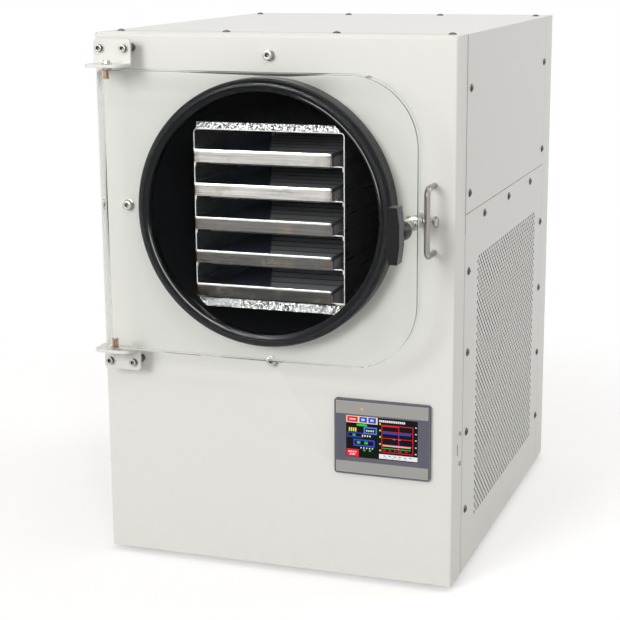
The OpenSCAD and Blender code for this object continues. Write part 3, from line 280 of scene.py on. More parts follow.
class Graph:
    """Builds a node tree, with one call for each node."""

    def __init__(self, tree):
        self.tree = tree

    def feed(self, socket, value):
        """Gives a socket a link or a plain value. Plain colours are opaque."""
        if isinstance(value, bpy.types.NodeSocket):
            self.tree.links.new(value, socket)
        elif socket.type == "RGBA":
            socket.default_value = (*value[:3], 1.0)
        else:
            socket.default_value = value

    def add(self, kind, values=None, **settings):
        node = self.tree.nodes.new(kind)
        for key, value in settings.items():
            setattr(node, key, value)
        for key, value in (values or {}).items():
            self.feed(node.inputs[key], value)
        return node

    def dress(self, shader, **sockets):
        """Feeds a shader's sockets by name, with _ for a space."""
        for label, value in sockets.items():
            self.feed(shader.inputs[label.replace("_", " ")], value)

    def blend(self, factor, first, second):
        return self.add("ShaderNodeMixShader", {
            0: factor, 1: first.outputs[0], 2: second.outputs[0]})

    def math(self, operation, a, b=0.0):
        return self.add("ShaderNodeMath", {0: a, 1: b}, operation=operation).outputs[0]

    def sum(self, a, b):
        return self.math("ADD", a, b)

    def less(self, a, b):
        return self.math("SUBTRACT", a, b)

    def times(self, a, b):
        return self.math("MULTIPLY", a, b)

    def off(self, value, middle):
        """How far a value is from a middle one."""
        return self.math("ABSOLUTE", self.less(value, middle))

    def radius(self, a, b):
        return self.math("SQRT", self.sum(self.times(a, a), self.times(b, b)))

    def remap(self, value, low, high, to_low=0.0, to_high=1.0, smooth=False):
        kind = "SMOOTHSTEP" if smooth else "LINEAR"
        node = self.add("ShaderNodeMapRange", {
            "Value": value, "From Min": low, "From Max": high,
            "To Min": to_low, "To Max": to_high}, interpolation_type=kind)
        return node.outputs[0]

    def mix(self, factor, a, b):
        node = self.add("ShaderNodeMix", {0: factor, 6: a, 7: b}, data_type="RGBA")
        return node.outputs[2]

    def shade(self, colour, tone):
        """A colour made lighter or darker by a tone near 1."""
        return self.add("ShaderNodeVectorMath", {0: colour[:3], 3: tone},
                        operation="SCALE").outputs[0]

    def place(self):
        return self.add("ShaderNodeTexCoord").outputs["Object"]

    def axes(self):
        return self.add("ShaderNodeSeparateXYZ", {0: self.place()}).outputs

    def noise(self, scale, detail=2.0, roughness=0.5, vector=None):
        return self.add("ShaderNodeTexNoise", {
            "Vector": self.place() if vector is None else vector, "Scale": scale,
            "Detail": detail, "Roughness": roughness}).outputs["Fac"]

    def cells(self, scale, output="Distance", feature="F1"):
        return self.add("ShaderNodeTexVoronoi", {"Vector": self.place(), "Scale": scale},
                        feature=feature).outputs[output]

    def bump(self, height, distance, strength):
        return self.add("ShaderNodeBump", {
            "Height": height, "Distance": distance, "Strength": strength}).outputs[0]


def shader_group(name, inputs, outputs, fill):
    """A node group with named inputs and outputs, filled by a function."""
    tree = bpy.data.node_groups.new(name, "ShaderNodeTree")
    for label, kind, default in inputs:
        socket = tree.interface.new_socket(label, in_out="INPUT", socket_type=kind)
        socket.default_value = default
    for label in outputs:
        tree.interface.new_socket(label, in_out="OUTPUT", socket_type="NodeSocketFloat")
    source = tree.nodes.new("NodeGroupInput")
    result = fill(Graph(tree), source.outputs)
    sink = tree.nodes.new("NodeGroupOutput")
    for label, socket in result.items():
        tree.links.new(socket, sink.inputs[label])
    return tree


def grain_fill(graph, inputs):
    """Fine even grain, with a slow drift in tone."""
    fine = graph.noise(inputs["Scale"], 3.0, 0.6)
    slow = graph.noise(7.0, 3.0, 0.55)
    drift = graph.times(graph.less(slow, 0.5), inputs["Drift"])
    speck = graph.times(graph.less(fine, 0.5), inputs["Speck"])
    return {"Tone": graph.sum(1.0, graph.sum(drift, speck)), "Height": fine}


def brush_fill(graph, inputs):
    """Long fine lines along one axis, in three widths, and a slow cloud."""
    stretched = graph.add("ShaderNodeMapping", {
        "Vector": graph.place(), "Scale": inputs["Stretch"]}).outputs[0]
    wide, middling, fine = [
        graph.times(graph.noise(scale, 2.0, 0.6, stretched), weight)
        for scale, weight in ((1.0, 0.5), (3.1, 0.3), (9.0, 0.2))]
    lines = graph.sum(graph.sum(wide, middling), fine)
    return {"Lines": lines, "Cloud": graph.noise(14.0, 4.0, 0.6)}


def dust_fill(graph, inputs):
    """Mask of faint soiling that grows towards the floor."""
    low = graph.remap(graph.axes()["Z"], inputs["Top"], 0.0, smooth=True)
    patch = graph.remap(graph.noise(26.0, 4.0, 0.65), 0.42, 0.75)
    return {"Mask": graph.times(low, patch)}


GROUPS = {}


def make_groups():
    number, vector = "NodeSocketFloat", "NodeSocketVector"
    GROUPS["grain"] = shader_group(
        "Fine grain", [("Scale", number, 900.0), ("Drift", number, 0.02),
                       ("Speck", number, 0.02)], ["Tone", "Height"], grain_fill)
    GROUPS["brush"] = shader_group(
        "Brushed lines", [("Stretch", vector, (400.0, 8.0, 400.0))], ["Lines", "Cloud"],
        brush_fill)
    GROUPS["dust"] = shader_group("Low dust", [("Top", number, 0.25)], ["Mask"], dust_fill)


def use_group(graph, key, **values):
    node = graph.add("ShaderNodeGroup", node_tree=GROUPS[key])
    for label, value in values.items():
        node.inputs[label].default_value = value
    return node.outputs


def surface(name, fill):
    """A material with a Principled shader, set by a function that may return another."""
    material = bpy.data.materials.new(name)
    material.use_nodes = True
    material.node_tree.nodes.clear()
    graph = Graph(material.node_tree)
    shader = graph.add("ShaderNodeBsdfPrincipled")
    shown = fill(graph, shader)
    if shown is None:
        shown = shader
    graph.add("ShaderNodeOutputMaterial", {"Surface": shown.outputs[0]})
    return material


# ---------------------------------------------------------------- finishes

MATERIALS = {}
GRAIN_SPAN, LINE_SPAN = (0.2, 0.8), (0.3, 0.7)  # where most of their values lie
# Radii of the gasket's painted lip highlight and of its painted sheen ring.
LIP_RADIUS, SHEEN_RING_RADIUS = 0.1672, 0.1747
SEAM_WIDTH, SEAM_FADE = 0.0016, 0.0027  # where the painted seam shade starts to fade, and is gone
TRAY_HEM, TRAY_CORNER = 0.0022, 0.013
LEDGE_PITCH = 0.017
# Painted light and shade on each tray's steel: the lower trays darker, the upper ones
# lighter.
TRAY_PAINTED_LIGHT = {1: 0.13, 2: 0.24, 3: 0.34, 4: 1.08, 5: 1.1}
HEM_HIGHLIGHT_FROM = 4  # the trays from this one up have a paler painted highlight on their hem
DOOR_SHADE = (-0.115, 0.035, 0.050, 0.100)  # X where the painted shade along the door's top starts, peaks, falls and ends
SOIL, SEAM_SHADE, VENT_HOLE_SHADE = (0.55, 0.53, 0.49), (0.16, 0.15, 0.14), (0.03, 0.029, 0.028)
HEAT_TINT, BURN = (0.36, 0.27, 0.17), (0.16, 0.10, 0.075)
PICTURE_COLOURS = {
    "red": (0.80, 0.01, 0.03), "blue": (0.03, 0.06, 0.55), "sky": (0.08, 0.22, 0.70),
    "green": (0.03, 0.55, 0.06), "yellow": (0.85, 0.75, 0.10), "white": (0.85, 0.85, 0.85),
    "cream": (0.85, 0.72, 0.50), "magenta": (0.45, 0.10, 0.45), "lilac": (0.55, 0.45, 0.75),
    "orange": (0.85, 0.45, 0.20)}


def powder_coat(colour, name="Powder coat", hole_shade_depth=0.0):
    """Textured paint, with painted shade along the side seams, and painted shade inside the
    vent holes to a given depth.
    """
    def fill(graph, shader):
        grain = use_group(graph, "grain", Scale=1300.0, Drift=0.018, Speck=0.012)
        dust = use_group(graph, "dust", Top=0.12)["Mask"]
        coat = graph.mix(graph.times(dust, 0.10), graph.shade(colour, grain["Tone"]), SOIL)
        axes, (low, high) = graph.axes(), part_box("right_upper_panel")
        # Painted shade along the joint of the front and the side panels, stronger above the
        # vents.
        line = graph.remap(graph.off(axes["Y"], low.y), SEAM_WIDTH, SEAM_FADE, 1.0, 0.0)
        depth = graph.remap(axes["Z"], low.z, low.z + 0.001, 0.35, 0.75)
        coat = graph.mix(graph.times(line, depth), coat, SEAM_SHADE)
        # Painted shade on the walls of the vent holes, inside the outer skin.
        if hole_shade_depth:
            reach = graph.math("ABSOLUTE", axes["X"])
            inside = graph.remap(reach, high.x - hole_shade_depth, high.x - hole_shade_depth / 2, 1.0, 0.0)
            coat = graph.mix(inside, coat, VENT_HOLE_SHADE)
        graph.dress(shader, Base_Color=coat, Specular_IOR_Level=0.42,
                    Roughness=graph.remap(grain["Height"], *GRAIN_SPAN, 0.34, 0.46),
                    Normal=graph.bump(grain["Height"], 0.00008, 0.5))
    return surface(name, fill)


def painted_lip_highlights(graph, base):
    """Painted highlight arcs at two sides of the gasket's lip, and a painted sheen ring
    outside it.
    """
    axes = graph.axes()
    up = graph.less(axes["Z"], centre_of("door_gasket").z)
    radius = graph.radius(axes["X"], up)
    line = graph.remap(graph.off(radius, LIP_RADIUS), 0.0002, 0.0007, 1.0, 0.0)
    slant = graph.sum(graph.times(axes["X"], 0.77), graph.times(up, 0.64))
    arc = graph.remap(graph.math("ABSOLUTE", slant), 0.82 * LIP_RADIUS, 0.93 * LIP_RADIUS,
                      0.0, 0.75, smooth=True)
    # Painted highlight: pale arcs along the lip's crown, upper right and lower left.
    base = graph.mix(graph.times(line, arc), base, (0.80, 0.80, 0.80))
    # Painted sheen: a dim pale ring outside the lip.
    ring = graph.remap(graph.off(radius, SHEEN_RING_RADIUS), 0.0008, 0.003, 0.5, 0.0)
    return graph.mix(ring, base, (0.035, 0.037, 0.045))


# With lip set, the rubber gets the painted lip highlights and the painted sheen ring.
def rubber(colour, name, rough=(0.14, 0.24), spec=0.2, lip=False):
    def fill(graph, shader):
        grain = use_group(graph, "grain", Scale=1700.0, Drift=0.25, Speck=0.25)
        base = graph.shade(colour, grain["Tone"])
        graph.dress(shader, Base_Color=painted_lip_highlights(graph, base) if lip else base,
                    Roughness=graph.remap(grain["Height"], *GRAIN_SPAN, *rough),
                    Normal=graph.bump(grain["Height"], 0.00003, 0.3),
                    Specular_IOR_Level=spec)
    return surface(name, fill)


def steel(colour, name, stretch, rough=(0.22, 0.42), contrast=1.0, wear_and_highlight=None):
    """Brushed metal, with marks and painted highlights that another function may add."""
    def fill(graph, shader):
        brush = use_group(graph, "brush", Stretch=stretch)
        tone = graph.remap(brush["Lines"], *LINE_SPAN, 1.0 - 0.2 * contrast,
                           1.0 + 0.12 * contrast)
        cloud = graph.remap(brush["Cloud"], 0.35, 0.7, 1.0, 0.86)
        base = graph.shade(colour, graph.times(tone, cloud))
        graph.dress(shader, Base_Color=wear_and_highlight(graph, base) if wear_and_highlight else base, Metallic=1.0,
                    Roughness=graph.remap(brush["Lines"], *LINE_SPAN, *rough),
                    Normal=graph.bump(brush["Lines"], 0.00005, 0.35))
    return surface(name, fill)


def tray_steel(colour, number):
    """A tray's steel at its level of painted light, with brown heat tints, burnt corners
    and a painted highlight along its hem.
    """
    low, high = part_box(f"tray_{number}")
    middle, half, hem = (low.x + high.x) / 2, (high.x - low.x) / 2, high.z - TRAY_HEM
    pale = 0.80 if number >= HEM_HIGHLIGHT_FROM else 0.45

    def wear_and_highlight(graph, base):
        patch = graph.remap(graph.noise(38.0, 5.0, 0.7), 0.52, 0.72)
        base = graph.mix(graph.times(patch, 0.5), base, HEAT_TINT)
        axes = graph.axes()
        corner = graph.remap(graph.off(axes["X"], middle), half - TRAY_CORNER,
                             half - 0.001, smooth=True)
        mottle = graph.remap(graph.noise(90.0, 4.0, 0.7), 0.35, 0.6, 0.1, 0.9)
        base = graph.mix(graph.times(corner, mottle), base, BURN)
        # Painted highlight along the hem, paler on the upper trays.
        rim = graph.remap(axes["Z"], hem - 0.0012, hem)
        return graph.mix(rim, base, (pale, pale, 0.96 * pale))
    shade = TRAY_PAINTED_LIGHT[number]
    return steel([part * shade for part in colour], f"Tray steel {number}",
                 (8.0, 300.0, 420.0), contrast=2.4, wear_and_highlight=wear_and_highlight)


def tray_inside():
    """Painted shade on the steel inside the trays, with painted light right of the middle,
    broken by fine darker lines at the ledges.
    """
    def fill(graph, shader):
        axes, (low, high) = graph.axes(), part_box("tray_1")
        slant = graph.sum(axes["X"], graph.times(0.36, graph.less(axes["Y"], low.y)))
        wall = graph.remap(axes["X"], high.x - 0.0012, high.x - 0.0006, 1.0, 0.0)
        middle = graph.times(graph.remap(slant, -0.062, -0.058), wall)
        right = graph.times(wall, graph.remap(slant, 0.002, 0.005))
        ledge = graph.remap(graph.math("PINGPONG", axes["Y"], LEDGE_PITCH), 0.002, 0.004,
                            0.35)
        # Painted shade in two dark blues, and painted light right of the middle, striped at
        # the ledges.
        tone = graph.mix(middle, (0.075, 0.086, 0.110), (0.085, 0.110, 0.170))
        tone = graph.mix(right, tone, graph.shade((0.80, 0.80, 0.83), ledge))
        lines = use_group(graph, "brush")["Lines"]
        graph.dress(shader, Base_Color=tone, Specular_IOR_Level=0.06,
                    Roughness=graph.remap(lines, *LINE_SPAN, 0.3, 0.5))
    return surface("Shaded tray steel", fill)


def worn_metal(graph, shader, base, fine, smoothest, roughest):
    """The fine unevenness of a plated or blackened metal."""
    graph.dress(shader, Base_Color=base, Metallic=1.0,
                Roughness=graph.remap(fine, *GRAIN_SPAN, smoothest, roughest),
                Normal=graph.bump(fine, 0.00004, 0.4))


def plated(colour, name, tint):
    """Plated metal with a faint cast of another colour."""
    def fill(graph, shader):
        cast = graph.remap(graph.noise(120.0, 3.0, 0.6), 0.35, 0.7, 0.0, 0.45)
        worn_metal(graph, shader, graph.mix(cast, colour, tint), graph.noise(1500.0),
                   0.22, 0.42)
    return surface(name, fill)


def black_oxide():
    """Blackened steel, worn paler in patches."""
    def fill(graph, shader):
        worn = graph.remap(graph.noise(240.0, 4.0, 0.7), 0.5, 0.72)
        base = graph.mix(graph.times(worn, 0.5), (0.10, 0.095, 0.095), (0.33, 0.31, 0.30))
        worn_metal(graph, shader, base, graph.noise(1400.0, 3.0), 0.25, 0.45)
    return surface("Blackened steel", fill)


def moulded(colour, name, rough, coarse=1100.0, spec=0.5):
    """Moulded plastic with a fine spark-eroded grain."""
    def fill(graph, shader):
        grain = use_group(graph, "grain", Scale=coarse, Drift=0.12, Speck=0.12)
        graph.dress(
            shader, Base_Color=graph.shade(colour, grain["Tone"]), Specular_IOR_Level=spec,
            Roughness=graph.remap(grain["Height"], *GRAIN_SPAN, rough - 0.05, rough + 0.1),
            Normal=graph.bump(grain["Height"], 0.00005, 0.45))
    return surface(name, fill)


def door_shade(graph, across, start, peak, end):
    """How far the painted shade at the door's top reaches, right of the middle the most."""
    x_start, x_peak, x_fall, x_end = DOOR_SHADE
    return graph.math("MINIMUM", graph.remap(across, x_start, x_peak, start, peak),
                      graph.remap(across, x_fall, x_end, peak, end))


def clear_plastic():
    """Clear plastic that lets the light through, with a painted shade along its top where
    the dark gasket shows through the edge.
    """
    def fill(graph, shader):
        haze = graph.remap(graph.noise(34.0, 4.0, 0.6), 0.4, 0.75, 0.012, 0.03)
        graph.dress(shader, Base_Color=(0.985, 0.995, 0.992), Roughness=haze,
                    Metallic=0.0, Transmission_Weight=1.0, IOR=1.3,
                    Specular_Tint=(0.09, 0.09, 0.10),
                    Normal=graph.bump(graph.noise(11.0, 1.0), 0.00012, 0.3))
        clear = graph.add("ShaderNodeBsdfTransparent", {"Color": (0.93, 0.945, 0.94)})
        path = graph.add("ShaderNodeLightPath").outputs
        passing = graph.math("MAXIMUM", path["Is Shadow Ray"], path["Is Diffuse Ray"])
        glass = graph.blend(passing, shader, clear)
        axes, top = graph.axes(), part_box("door_plate")[1].z
        height = door_shade(graph, axes["X"], 0.0002, 0.0034, 0.0003)
        under = graph.less(graph.less(top, axes["Z"]), height)
        # Painted shade: the dark gasket seen through the door's top edge.
        dark = graph.add("ShaderNodeBsdfPrincipled", {
            "Base Color": (0.012, 0.012, 0.013), "Roughness": 0.3})
        return graph.blend(graph.remap(under, -0.0004, 0.0004, 0.95, 0.0), glass, dark)
    return surface("Clear plastic", fill)


def door_rim():
    """Polished edge of the clear door: painted dark reflection lines and a painted
    highlight line, the rest seen through.
    """
    gaps = ((-0.110, 0.026), (-0.008, 0.044))  # middle and half width of the spans along the bottom where the painted dark line stays

    def fill(graph, shader):
        axes, (low, high) = graph.axes(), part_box("door_plate")
        wobble = graph.remap(graph.noise(60.0, 3.0), 0.3, 0.7, -0.0002, 0.0002)
        depth = graph.sum(graph.less(axes["Y"], low.y), wobble)
        # Painted dark reflection lines (first, second), a painted highlight line (pale) and
        # the painted shade at the top.
        first = graph.remap(depth, 0.0036, 0.0046, 0.95, 0.0)
        pale = graph.remap(depth, 0.0085, 0.0098, 0.85, 0.0)
        second = graph.remap(graph.off(depth, 0.014), 0.0006, 0.0014, 0.45, 0.0)
        bottom = graph.remap(axes["Z"], low.z + 0.001, low.z + 0.002, 1.0, 0.0)
        for middle, half in gaps:
            past = graph.remap(graph.off(axes["X"], middle), half, half + 0.002)
            bottom = graph.times(bottom, past)
        first = graph.times(first, graph.less(1.0, bottom))
        reach = door_shade(graph, axes["X"], 0.002, 0.026, 0.002)
        near = graph.remap(graph.less(depth, reach), -0.001, 0.001, 1.0, 0.0)
        top = graph.times(
            graph.remap(axes["Z"], high.z - 0.002, high.z - 0.001, 0.0, 0.97), near)
        dark = graph.math("MAXIMUM", graph.math("MAXIMUM", first, second), top)
        graph.dress(shader, Roughness=0.25, Specular_IOR_Level=0.3, Base_Color=graph.mix(
            dark, (0.92, 0.92, 0.91), (0.02, 0.02, 0.022)))
        clear = graph.add("ShaderNodeBsdfTransparent", {"Color": (0.975, 0.98, 0.98)})
        return graph.blend(graph.math("MAXIMUM", dark, pale), clear, shader)
    return surface("Door edge", fill)


def crinkled_foil():
    """Bright foil in small facets, with painted shade in its creases."""
    def fill(graph, shader):
        creases = graph.cells(330.0, feature="DISTANCE_TO_EDGE")
        fine = graph.noise(900.0, 4.0, 0.7)
        height = graph.sum(graph.times(creases, 1.6), graph.times(fine, 0.5))
        facet = graph.remap(graph.cells(620.0, "Color"), 0.32, 0.62, 0.05)
        # Painted shade: the foil darkens towards each crease.
        tone = graph.times(graph.remap(creases, 0.0, 0.14, 0.25), facet)
        graph.dress(shader, Base_Color=graph.shade((0.88, 0.88, 0.88), tone), Metallic=1.0,
                    Roughness=graph.remap(fine, 0.3, 0.7, 0.16, 0.34),
                    Normal=graph.bump(height, 0.0006, 0.9))
    return surface("Crinkled foil", fill)


def copper_tube():
    def fill(graph, shader):
        tarnish = graph.remap(graph.noise(45.0, 5.0, 0.65), 0.4, 0.7)
        graph.dress(shader, Metallic=1.0,
                    Base_Color=graph.mix(tarnish, (0.72, 0.36, 0.22), (0.30, 0.15, 0.10)),
                    Roughness=graph.remap(tarnish, 0.0, 1.0, 0.25, 0.5))
    return surface("Copper tube", fill)


def foam_jacket():
    def fill(graph, shader):
        cells = graph.cells(420.0)
        tone = graph.remap(cells, 0.0, 0.7, 0.8, 1.1)
        graph.dress(shader, Base_Color=graph.shade((0.50, 0.48, 0.36), tone), Roughness=0.9,
                    Normal=graph.bump(cells, 0.0005, 0.7))
    return surface("Foam", fill)


def glow(name, colour, strength):
    """A lit patch of the display, a little uneven like its backlight."""
    def fill(graph, shader):
        cloud = graph.remap(graph.noise(60.0), 0.3, 0.7, 0.92, 1.05)
        graph.dress(shader, Base_Color=(0.01, 0.01, 0.01), Roughness=0.25,
                    Specular_IOR_Level=0.1, Emission_Color=graph.shade(colour, cloud),
                    Emission_Strength=strength)
    return surface(name, fill)


def make_materials():
    look = bpy.context.scene.dryer_colours
    make_groups()
    MATERIALS.update({
        "paint": powder_coat(look.paint),
        "vent": powder_coat(look.paint, "Powder coat over bare vent holes", 0.0003),
        "lip": rubber(look.rubber, "Gasket rubber with a bright lip", lip=True),
        "foot": rubber(look.rubber, "Foot rubber", (0.55, 0.75), 0.4),
        "steel_y": steel(look.steel, "Rolled steel", (420.0, 9.0, 420.0)),
        # The drum's steel is painted near black as the painted shade of the closed chamber.
        "drum": moulded((0.006, 0.0065, 0.0075), "Dark drum wall", 0.3, 700.0, 0.3),
        "bar": steel((0.36, 0.34, 0.32), "Polished bar", (500.0, 500.0, 60.0),
                     (0.14, 0.26)),
        "fins": steel((0.66, 0.67, 0.68), "Fin aluminium", (300.0, 300.0, 20.0),
                      (0.3, 0.5)),
        "pan": steel((0.55, 0.56, 0.56), "Galvanised sheet", (90.0, 30.0, 90.0),
                     (0.35, 0.6)),
        "zinc": plated(look.zinc, "Zinc plate", (0.75, 0.66, 0.36)),
        "bronze": plated(look.bronze, "Bronze", (0.80, 0.50, 0.24)),
        "oxide": black_oxide(),
        "black": moulded((0.006, 0.006, 0.007), "Black plastic", 0.24, 1100.0, 0.22),
        "fan": moulded((0.03, 0.03, 0.032), "Fan plastic", 0.45),
        "can": moulded((0.012, 0.012, 0.013), "Black enamel", 0.25, 500.0),
        "pad": moulded((0.045, 0.042, 0.042), "Heater mat", 0.6, 700.0),
        "bezel": moulded(look.bezel, "Bezel plastic", 0.45),
        "band": moulded(look.band, "Bezel band", 0.5),
        "slate": moulded(look.panel, "Display surround", 0.35),
        "frame_line": moulded((0.50, 0.50, 0.53), "Bezel inner line", 0.4),
        "glass": moulded((0.002, 0.002, 0.0025), "Display glass", 0.12, 300.0, 0.12),
        "clear": clear_plastic(),
        "rim": door_rim(),
        "foil": crinkled_foil(),
        "copper": copper_tube(),
        "foam": foam_jacket(),
        "lamp": glow("Status lamp", (1.0, 0.40, 0.05), 1.1),
        "tray_inner": tray_inside(),
    })
    for key, colour in PICTURE_COLOURS.items():
        MATERIALS[f"lit_{key}"] = glow(f"Display {key}", colour, 1.0)
    for number in TRAY_PAINTED_LIGHT:
        MATERIALS[f"tray_{number}"] = tray_steel(look.steel, number)


# ---------------------------------------------------------------- pieces

GASKET_EDGE, RACK_EDGE, TRAY_EDGE, BRACKET_EDGE = 0.0004, 0.0003, 0.0002, 0.0006
BOLT_EDGE, SCREW_EDGE = 0.0003, 0.0004
BRACKET_SOCKET, FLANGE_SOCKET = 0.0032, 0.0036  # how far the painted shade of a screw's socket reaches
TRAY_FRONT, TRAY_TOP = 0.002, 0.0024  # parts of a tray that keep its steel; the rest takes the painted shade of its inside
SHORTEST_DOOR_EDGE = 0.0018
FOIL_ROWS = 25
FOIL_PADS = (0.009, 0.012)  # heights of the upper and the lower pad's front
FOLD_SCALE, CREASE_SCALE = 310.0, 760.0
HIGHLIGHT_UPWARDS = 0.45  # the least upward turn of a panel screw's faces that get the painted highlight


class DRYER_OT_cabinet(bpy.types.Operator):
    """Painted sheet metal of the cabinet"""

    bl_idname = "dryer.cabinet"
    bl_label = "Cabinet"

    def execute(self, context):
        paint, edge = MATERIALS["paint"], context.scene.dryer_sizes.sheet_edge
        for node in ("front_panel", "top_panel", "right_upper_panel", "left_upper_panel",
                     "back_panel"):
            softened(f"{node}_skin", paint, [node], edge)
        for node in ("right_vent_panel", "left_vent_panel"):
            paint_node(node, MATERIALS["vent"])
        paint_node("feet", MATERIALS["foot"])
        for node in ("base_pan", "mid_deck", "drum_cradles"):
            paint_node(node, MATERIALS["pan"])
        return {"FINISHED"}


class DRYER_OT_chamber(bpy.types.Operator):
    """Vacuum drum, gasket, coil and insulation"""

    bl_idname = "dryer.chamber"
    bl_label = "Chamber"

    def execute(self, context):
        # The drum, its end and the mouth flange take the near-black painted shade.
        for node in ("chamber_drum", "drum_end", "mouth_flange"):
            paint_node(node, MATERIALS["drum"])
        softened("gasket_ring", MATERIALS["lip"], ["door_gasket"],
                 GASKET_EDGE, angle=24.0)
        paint_node("insulation_jacket", MATERIALS["foam"])
        paint_node("evaporator_coil", MATERIALS["copper"])
        return {"FINISHED"}


class DRYER_OT_rack(bpy.types.Operator):
    """Rack, shelves, heater mats and trays"""

    bl_idname = "dryer.rack"
    bl_label = "Rack and trays"

    def execute(self, context):
        for name, node in (("rack_sides", "rack_frame"), ("shelf_sheets", "rack_shelves")):
            softened(name, MATERIALS["steel_y"], [node], RACK_EDGE)
        paint_node("heater_pads", MATERIALS["pad"])
        for number in TRAY_PAINTED_LIGHT:
            low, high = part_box(f"tray_{number}")

            def inside(bm, front=low.y + TRAY_FRONT, hem=high.z - TRAY_TOP):
                for face in bm.faces:
                    at = face.calc_center_median()
                    face.material_index = 0 if at.y < front or at.z > hem else 1
            softened(f"drying_tray_{number}", MATERIALS[f"tray_{number}"],
                     [f"tray_{number}"], TRAY_EDGE, angle=50.0,
                     extra=(MATERIALS["tray_inner"],), choose=inside)
        return {"FINISHED"}


def slice_mesh(bm, places, axis):
    """Cuts a mesh across at places along an axis."""
    square = Vector([index == axis for index in range(3)])
    for place in places:
        bmesh.ops.bisect_plane(
            bm, geom=bm.verts[:] + bm.edges[:] + bm.faces[:], dist=1e-7,
            plane_co=place * square, plane_no=square)


class DRYER_OT_foil(bpy.types.Operator):
    """Foil-wrapped pads above and below the rack"""

    bl_idname = "dryer.foil"
    bl_label = "Foil pads"

    def execute(self, context):
        sizes = context.scene.dryer_sizes
        low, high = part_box("foil_pads")
        cell, upper, lower = sizes.foil_cell, *FOIL_PADS
        bm = merged_copy("foil_pads")
        slice_mesh(bm, [low.y + step * cell for step in range(1, FOIL_ROWS + 1)], 1)
        columns = int((high.x - low.x) / cell)
        slice_mesh(bm, [low.x + step * cell for step in range(1, columns)], 0)
        for middle, tall in ((high.z - upper / 2, upper), (low.z + lower / 2, lower)):
            slice_mesh(bm, [middle + share * tall for share in (-0.3, -0.1, 0.1, 0.3)], 2)
        bmesh.ops.triangulate(bm, faces=bm.faces)
        bm.normal_update()
        moves = {v: -v.normal * sizes.foil_depth
                 * abs(noise.noise(v.co * FOLD_SCALE)
                       + 0.5 * noise.noise(v.co * CREASE_SCALE))
                 for v in bm.verts}
        for vert, move in moves.items():
            vert.co += move
        obj = finish_mesh(bm, "foil_wraps", [MATERIALS["foil"]], "cabinet", 28.0)
        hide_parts("foil_pads")
        return {"FINISHED"}


class DRYER_OT_door(bpy.types.Operator):
    """Clear door, its bushes and its hinges"""

    bl_idname = "dryer.door"
    bl_label = "Door and hinges"

    def execute(self, context):
        low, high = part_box("door_plate")
        zinc, oxide = MATERIALS["zinc"], MATERIALS["oxide"]
        rim, corner = 0.002, 0.065

        def edges(bm):
            """Gives the rim's finish to the door's edge, but for the hinges' side."""
            for face in bm.faces:
                at, turn = face.calc_center_median(), face.normal
                outer = (at.x > high.x - corner or at.x < low.x + rim
                         or at.z > high.z - rim or at.z < low.z + rim)
                if abs(turn.y) < 0.99 and outer and turn.x > -0.5:
                    face.material_index = 1
        softened("door_slab", MATERIALS["clear"], ["door_plate"],
                 context.scene.dryer_sizes.door_edge, angle=50.0,
                 extra=(MATERIALS["rim"],), choose=edges, shortest=SHORTEST_DOOR_EDGE)
        softened("hinge_plates", MATERIALS["paint"],
                 ["upper_hinge_bracket", "lower_hinge_bracket"], BRACKET_EDGE, 3)
        paint_node("hinge_bushes", MATERIALS["bronze"])
        paint_node("hinge_washers", zinc)
        softened("hinge_bolt_set", zinc, ["hinge_bolts"], BOLT_EDGE)
        # Blackened steel on the screws' sockets and base rings is painted shade.
        softened("bracket_screw_set", zinc, ["bracket_screws"], SCREW_EDGE,
                 extra=(oxide,), choose=paint_socket_shade(BRACKET_SOCKET, ring=True))
        softened("spacer_set", oxide, ["bracket_spacers"], SCREW_EDGE)
        return {"FINISHED"}


class DRYER_OT_latch(bpy.types.Operator):
    """Turning handle, its bolt and the striker"""

    bl_idname = "dryer.latch"
    bl_label = "Latch"

    def execute(self, context):
        low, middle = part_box("latch_handle")[0], centre_of("latch_handle")
        sizes, zinc = context.scene.dryer_sizes, MATERIALS["zinc"]

        def slim(bm):
            front = [vert for vert in bm.verts if vert.co.y < low.y + sizes.grip_depth]
            bmesh.ops.scale(bm, vec=(sizes.grip_slim, 1.0, sizes.grip_slim ** 0.4),
                            space=Matrix.Translation(-middle), verts=front)
        softened("latch_grip", MATERIALS["black"], ["latch_handle"],
                 sizes.grip_edge, 4, 25.0, choose=slim)
        softened("latch_spindle", zinc, ["latch_shaft"], SCREW_EDGE)
        softened("latch_bolt", zinc, ["pawl_bolt"], SCREW_EDGE)
        paint_node("pawl_washers", zinc)
        paint_node("striker_bar", MATERIALS["bar"])
        return {"FINISHED"}


def screen_bands():
    """Two pale bands, each in a fine line, and the slate field between them."""
    low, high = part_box("screen_bezel")
    glass_low, glass_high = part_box("screen_panel")
    border, line, thick, least_slate = 0.0032, 0.0005, 0.00012, 0.012
    x0, x1 = low.x + border, high.x - border
    z0, z1 = low.z + border, high.z - border
    upper_band, lower_band = 0.0207, 0.0187
    top, bottom, front = high.z - upper_band, low.z + lower_band, low.y
    bm = bmesh.new()
    for grow, layer, finish in ((line, 1, 2), (0.0, 2, 0)):
        near, far = front - layer * thick, front - (layer - 1) * thick
        for base, tip in ((top, z1 + grow), (z0 - grow, bottom)):
            block(bm, (x0 - grow, near, base), (x1 + grow, far, tip), finish)
    for start, end in ((x0, max(glass_low.x, x0 + least_slate)),
                       (min(glass_high.x, x1 - least_slate), x1)):
        block(bm, (start, front - thick, bottom), (end, front, top), 1)
    finishes = [MATERIALS[key] for key in ("band", "slate", "frame_line")]
    finish_mesh(bm, "screen_bands", finishes, "cabinet")


